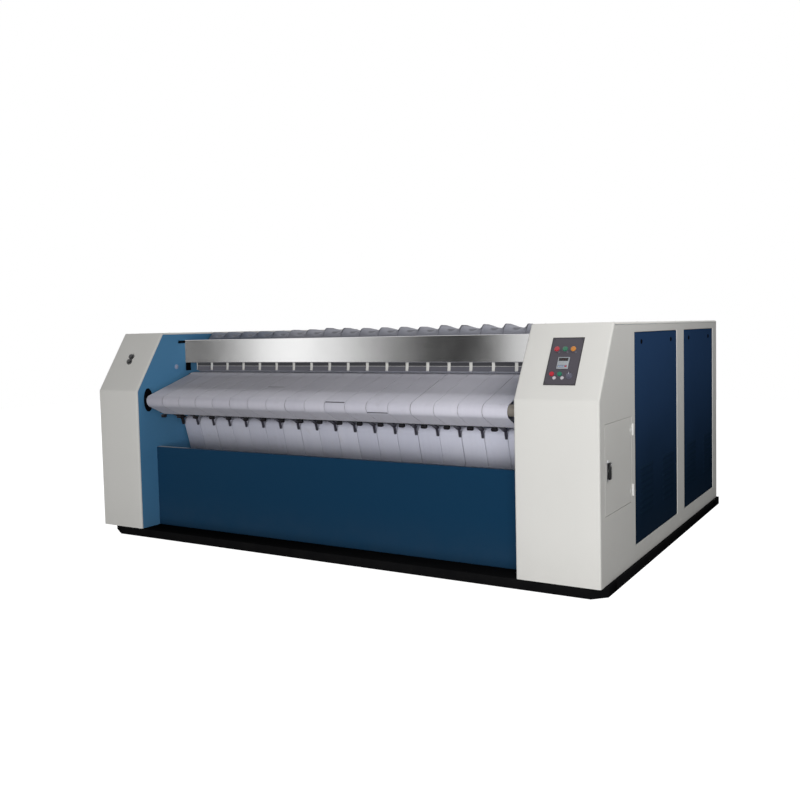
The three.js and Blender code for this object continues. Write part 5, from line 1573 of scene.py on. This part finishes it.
# A chain wheel with its teeth between two radii, and its hub.
def chainWheel(y, z, teeth, root, tip, hub, steps):
    rim = [(2 * math.pi * (k + share) / teeth, r)
           for k in range(teeth) for share, r in ((0.0, root), (0.5, tip))]
    outline = [(y + r * math.cos(a), z + r * math.sin(a)) for a, r in rim]
    wheel = prismMesh(outline, chainSizes["outer"], chainSizes["inner"])
    return [dressed(wheel, groundSteel), dressed(turned(hub, y, z, steps), groundSteel)]


def drumProfile(leftEnd):
    shell, rightEnd = 1560.0, shaftSizes["bearingFront"] + 12
    return roundedProfile([
        (-leftEnd, 0), (-leftEnd, 80), (-shell - 2, 80), (-shell + 9, 120), (-shell + 12, 330), (-shell, 372),
        (-shell, 400), (shell, 400), (shell, 372), (shell - 12, 330), (shell - 9, 120), (shell + 2, 80),
        (rightEnd, 80), (rightEnd, 55), (shell - 40, 55), (shell - 40, 0)], 3.0, 2)


def addDrums():
    for node, wheel, leftEnd in (("front_drum", "frontDrum", "pulleyOuter"),
                                 ("rear_drum", "rearDrum", "pulleyInner")):
        y, z, _ = wheelSizes[wheel]
        spots = [((side * 1550, *place), Vector((side, 0, 0)), upFacing)
                 for side in (-1, 1) for place in ringPlaces(12, y, z, 104, 0.13)]
        parts = [dressed(turned(drumProfile(shaftSizes[leftEnd]), y, z, 128), drumSteel),
                 bolts((8.0, 9.0), spots, zinc, 4)]
        if node == "front_drum":
            hub = [(-1754, 79), (-1754, 112), (-1694.5, 112), (-1694.5, 79)]
            parts += chainWheel(y, z, 48, 150.0, 159.0, hub, 48)
        newPiece(node + "_cylinder", parts, node, "polished_steel", (node,))


def rollerProfile(radius, journal, shell):
    end = 1630.0
    return roundedProfile([(-end, 0), (-end, journal), (-shell - 3, journal), (-shell, radius * 0.55),
                           (-shell + 4, radius * 0.62), (-shell, radius - 7), (-shell, radius),
                           (shell, radius), (shell, radius - 7), (shell - 4, radius * 0.62),
                           (shell, radius * 0.55), (shell + 3, journal), (end, journal), (end, 0)], 1.5, 2)


# Rollers: (node, wheel, journal radius, half length). The two top tubes are thinner than their
# wheels and turn about the solids' axes.
rollers = (("feed_rear_roller", "feedRearRoller", 20, 1584.0), ("nip_roller", "nipRoller", 20, 1584.0),
           ("top_front_roller", "topFrontRoller", 20, 1584.0),
           ("top_rear_roller", "topRearRoller", 20, 1584.0),
           ("lower_rear_roller", "lowerRearRoller", 20, 1584.0),
           ("lower_front_roller", "lowerFrontRoller", 20, 1584.0),
           ("outlet_roller", "outletRoller", 20, 1584.0), ("nose_roller", "noseRoller", 25, 1578.0))
rollerShells = {**wheelSizes, "topFrontRoller": (885, 1495, 58), "topRearRoller": (2850, 1525, 42)}
rollerMetals = {"top_front_roller": chassisBlack, "nose_roller": rollerGrey}


def addRollers():
    for node, wheel, journal, shell in rollers:
        y, z, radius = rollerShells[wheel]
        metal = rollerMetals.get(node, groundSteel)
        tube = turned(rollerProfile(radius, journal, shell), y, z, 72 if radius > 50 else 56)
        key = box(metal, 1628.0, 1631.5, y - 1.5, y + 1.5, z - journal * 0.7, z + journal * 0.7, 0.4, 1)
        newPiece(node + "_tube", [dressed(tube, metal), key], node, "grey_steel", (node,))


def addDrumBearing(node, side, wheel):
    y, z, _ = wheelSizes[wheel]
    out = Vector((side, 0, 0))
    face = side * (shaftSizes["bearingBack"] + 24)
    corners = [((face, y + dy, z + dz), out, upFacing) for dy in (-112, 112) for dz in (-112, 112)]
    cap = [((side * shaftSizes["bearingFront"], *place), out, upFacing)
           for place in ringPlaces(6, y, z, 103, 0.3)]
    newPiece(node + "_housing", [softened(node, iron, 3.0, 3), bolts((13, 12), corners, zinc, 6),
                                 bolts((7, 7), cap, zinc, 7)], "machine", "cast_iron", (node,))


# The nose flanges are narrow upright ovals on the walls.
def addNoseBearing(node, side):
    y, z, _ = wheelSizes["noseRoller"]
    turns = [2 * math.pi * k / 48 for k in range(48)]
    oval = [(y + 43 * math.cos(turn), z + 92 * math.sin(turn)) for turn in turns]
    plate = applied(prismMesh(oval, *sorted((side * 1599.6, side * 1591))), bevelSettings(1.5, 3))
    boss = turned([(side * 1592, 25.4), (side * 1592, 40), (side * 1587.5, 39), (side * 1586.0, 37),
                   (side * 1586.0, 25.4), (side * 1592, 25.4)], y, z, 48)
    spots = [((side * 1591.0, y, z + dz), Vector((-side, 0, 0)), upFacing) for dz in (-70, 70)]
    newPiece(node + "_flange", [dressed(plate, chassisBlack), dressed(boss, chassisBlack),
                                bolts((7, 4), spots, chassisBlack, 8)], "machine", "black_plastic", (node,))


addDrums()
addRollers()
for label, side in (("left", -1), ("right", 1)):
    addDrumBearing(label + "_front_bearing", side, "frontDrum")
    addDrumBearing(label + "_rear_bearing", side, "rearDrum")
    addNoseBearing(label + "_nose_bearing", side)

print("drums and rollers turned")


# ---- frame, motor and what the doors hide

def addFrame():
    for node, metal, width, slot in (*((f"base_{part}", chassisBlack, 2.0, "black_paint") for part in (
            "front_beam", "rear_beam", "left_rail", "right_rail", "cross_beam")),
            ("tie_beam", groundSteel, 4.0, "grey_steel")):
        newPiece(node + "_finished", softened(node, metal, width, 3), "machine", slot, (node,))


def addMotor():
    y, z, _ = wheelSizes["chainMotor"]
    ribs = [((-1851.5, y + 125 + 11 * k, z), upFacing, rightFacing) for k in range(17)]
    spots = [((-1936.4, y + dy, z + dz), leftFacing, upFacing) for dy in (-85, 85) for dz in (-85, 85)]
    newPiece("drive_motor_unit", [
        softened("drive_motor", motorPaint, 4.0, 3),
        box(motorPaint, -1900, -1800, y + 150, y + 260, z + 76, z + 132, 6, 3),
        scattered(localBox(-84, 84, -1.6, 1.6, -84, 84, 1.2, 1), ribs, motorPaint),
        bolts((9, 8), spots, zinc, 9)], "machine", "cast_iron", ("drive_motor",))
    hub = [(-1754, 20.3), (-1754, 38), (-1694.6, 38), (-1694.6, 20.3), (-1754, 20.3)]
    newPiece("motor_sprocket", chainWheel(y, z, 18, 50.0, 59.0, hub, 40), "motor_pulley", "grey_steel",
             ("motor_pulley",))


def addChain():
    rows = beltRows([("chainDrum", 1), ("chainMotor", 1)], 6.0)
    total = rows[-1][4] + (Vector(rows[0][:2]) - Vector(rows[-1][:2])).length
    links, count, k = [], round(total / chainSizes["pitch"]), 0
    for n in range(count):
        along = total * n / count
        while k + 1 < len(rows) and rows[k + 1][4] < along:
            k += 1
        first, second = rows[k], rows[(k + 1) % len(rows)]
        span = (second[4] if k + 1 < len(rows) else total) - first[4]
        t = (along - first[4]) / span if span > 1e-6 else 0.0
        place = Vector(first[:2]).lerp(Vector(second[:2]), t)
        away = Vector(first[2:4]).lerp(Vector(second[2:4]), t).normalized()
        links.append(((chainSizes["x"], *place), Vector((0, *away)), Vector((0, -away.y, away.x))))
    plates = [localBox(-19, 19, x - 1.3, x + 1.3, -8, 8, 1.1, 1) for x in (-17, -12, 12, 17)]
    pin = localBox(-15.5, -8.5, -18.5, 18.5, -3.5, 3.5, 1.5)
    newPiece("drive_chain", scattered(joined("link", plates + [pin]), links, groundSteel), "machine",
             "black_rubber", ("drive_belt",))


# The electrical plate, all as y, z ranges: rails, ducts, and rows of devices as (count, first y,
# pitch, half width, from and to in x off the plate, low and high z, radius, segments, tones).
plateFace = 1660.3
railHeights = (930, 760, 590)
ducts = ((140, 170, 510, 970), (550, 580, 510, 970), (172, 548, 828, 862), (172, 548, 658, 692))
terminalTones = [greenPlastic if k % 9 == 8 else (whitePlastic, ductGrey)[k % 2] for k in range(32)]
deviceRows = ((4, 200, 84, 22, 7, 74, 890, 970, 3, 2, [ivory] + [ductGrey] * 3),
              (4, 200, 84, 13, 73, 79, 912, 948, 2, 2, [blackPlastic] * 4),
              (6, 192, 30, 9, 7, 66, 720, 800, 2, 2, [whitePlastic] * 6),
              (6, 192, 30, 4, 65, 77, 752, 768, 2, 2, [blackPlastic] * 6),
              (3, 400, 48, 14, 7, 62, 724, 796, 2, 2, [keyBlue] * 3),
              (32, 190, 11, 4.9, 7, 50, 562, 618, 1.0, 1, terminalTones))


def addWiring():
    back = plateFace
    parts = [softened("electrical_plate", zinc, 0.8, 2)]
    parts += [box(zinc, back, back + 7.5, 175, 545, z - 17.5, z + 17.5, 0.8) for z in railHeights]
    parts += [box(ductGrey, back, back + 48, *duct, 1.5) for duct in ducts]
    slots = [((back + 48, y, 530 + 14 * k), rightFacing, upFacing) for y in (151, 569) for k in range(31)]
    parts.append(scattered(localBox(-3, 3, -6, 6, 0, 0.4), slots, blackPlastic))
    for count, first, pitch, half, near, far, low, high, radius, segments, tones in deviceRows:
        for k in range(count):
            y = first + k * pitch
            parts.append(box(tones[k], back + near, back + far, y - half, y + half, low, high, radius,
                             segments))
    newPiece("electrical_plate_gear", parts, "machine", "zinc", ("electrical_plate",))


wallFace = 1599.9
wallBolts = ((439, 1325), (2980, 1500), (2980, 400), (3050, 900))
wallSeats = (("feedRearRoller", 34), ("topFrontRoller", 44), ("outletRoller", 36), ("topRearRoller", 40),
             ("lowerRearRoller", 36), ("lowerFrontRoller", 36))
fasciaBrackets = ((-wallFace, -1588, 468, 538, 1518, 1538, 1.0),
                  (-wallFace, -1584, 546, 590, 1290, 1353, 1.5))


def addWallFittings():
    spots, caps, seats = [], [], []
    for side in (-1, 1):
        face = side * wallFace
        spots += [((face, *place), Vector((-side, 0, 0)), upFacing) for place in wallBolts]
        caps.append(turned([(face, 0), (face, 20), (side * 1597.0, 19), (side * 1596.0, 16),
                            (side * 1596.0, 0)], *wallBolts[0], 32))
        for wheel, size in wallSeats:
            seats.append(turned([(face, 21), (face, size), (side * 1597.0, size), (side * 1595.5, size - 2),
                                 (side * 1595.5, 21)], *rollerShells[wheel][:2], 40))
    newPiece("wall_bolts", [bolts((7, 6), spots, zinc, 12)] + [dressed(cap, capGrey) for cap in caps],
             "machine", "zinc")
    newPiece("left_fascia_brackets", [box(chassisBlack, *sizes) for sizes in fasciaBrackets], "machine",
             "black_paint")
    newPiece("roller_seats", [dressed(seat, blackPlastic) for seat in seats], "machine", "black_plastic")


def addScrews():
    height, back = machineSizes["height"], machineSizes["depth"] - coverSizes["screwRoom"]
    spots = [((-1540 + k * 440, 3138, z), rearFacing, upFacing) for z in (110, 700, 1290) for k in range(8)]
    newPiece("panel_screws", screws((4.5, 2.2), spots, zinc, 15), "machine", "zinc")
    spots = []
    for _, side, width in cabinets:
        middle, reach = side * (machineSizes["wall"] + width / 2), width / 2 - 45
        for x in (middle - reach, middle + reach):
            spots += [((x, back, z), rearFacing, upFacing) for z in (120, 600, 1080, 1520)]
            spots += [((x, 420 + k * 500, height), upFacing, rightFacing) for k in range(6)]
        edge = side * (machineSizes["wall"] + width)
        for y in (340, 1240, 1880, 2500, 3080):
            spots += [((edge, y, z), Vector((side, 0, 0)), upFacing) for z in (110, 1572)]
    newPiece("cover_screws", screws((4.5, 2.0), spots, ivory, 16), "machine", "ivory_paint")


addFrame()
addMotor()
addChain()
addWiring()
addWallFittings()
addScrews()

print("frame and fittings made")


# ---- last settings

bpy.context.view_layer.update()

# The left cabinet stays out of the fascia's mirror image, as in the photo.
for piece in bpy.data.objects:
    if piece.name.startswith("left_"):
        piece.visible_glossy = False
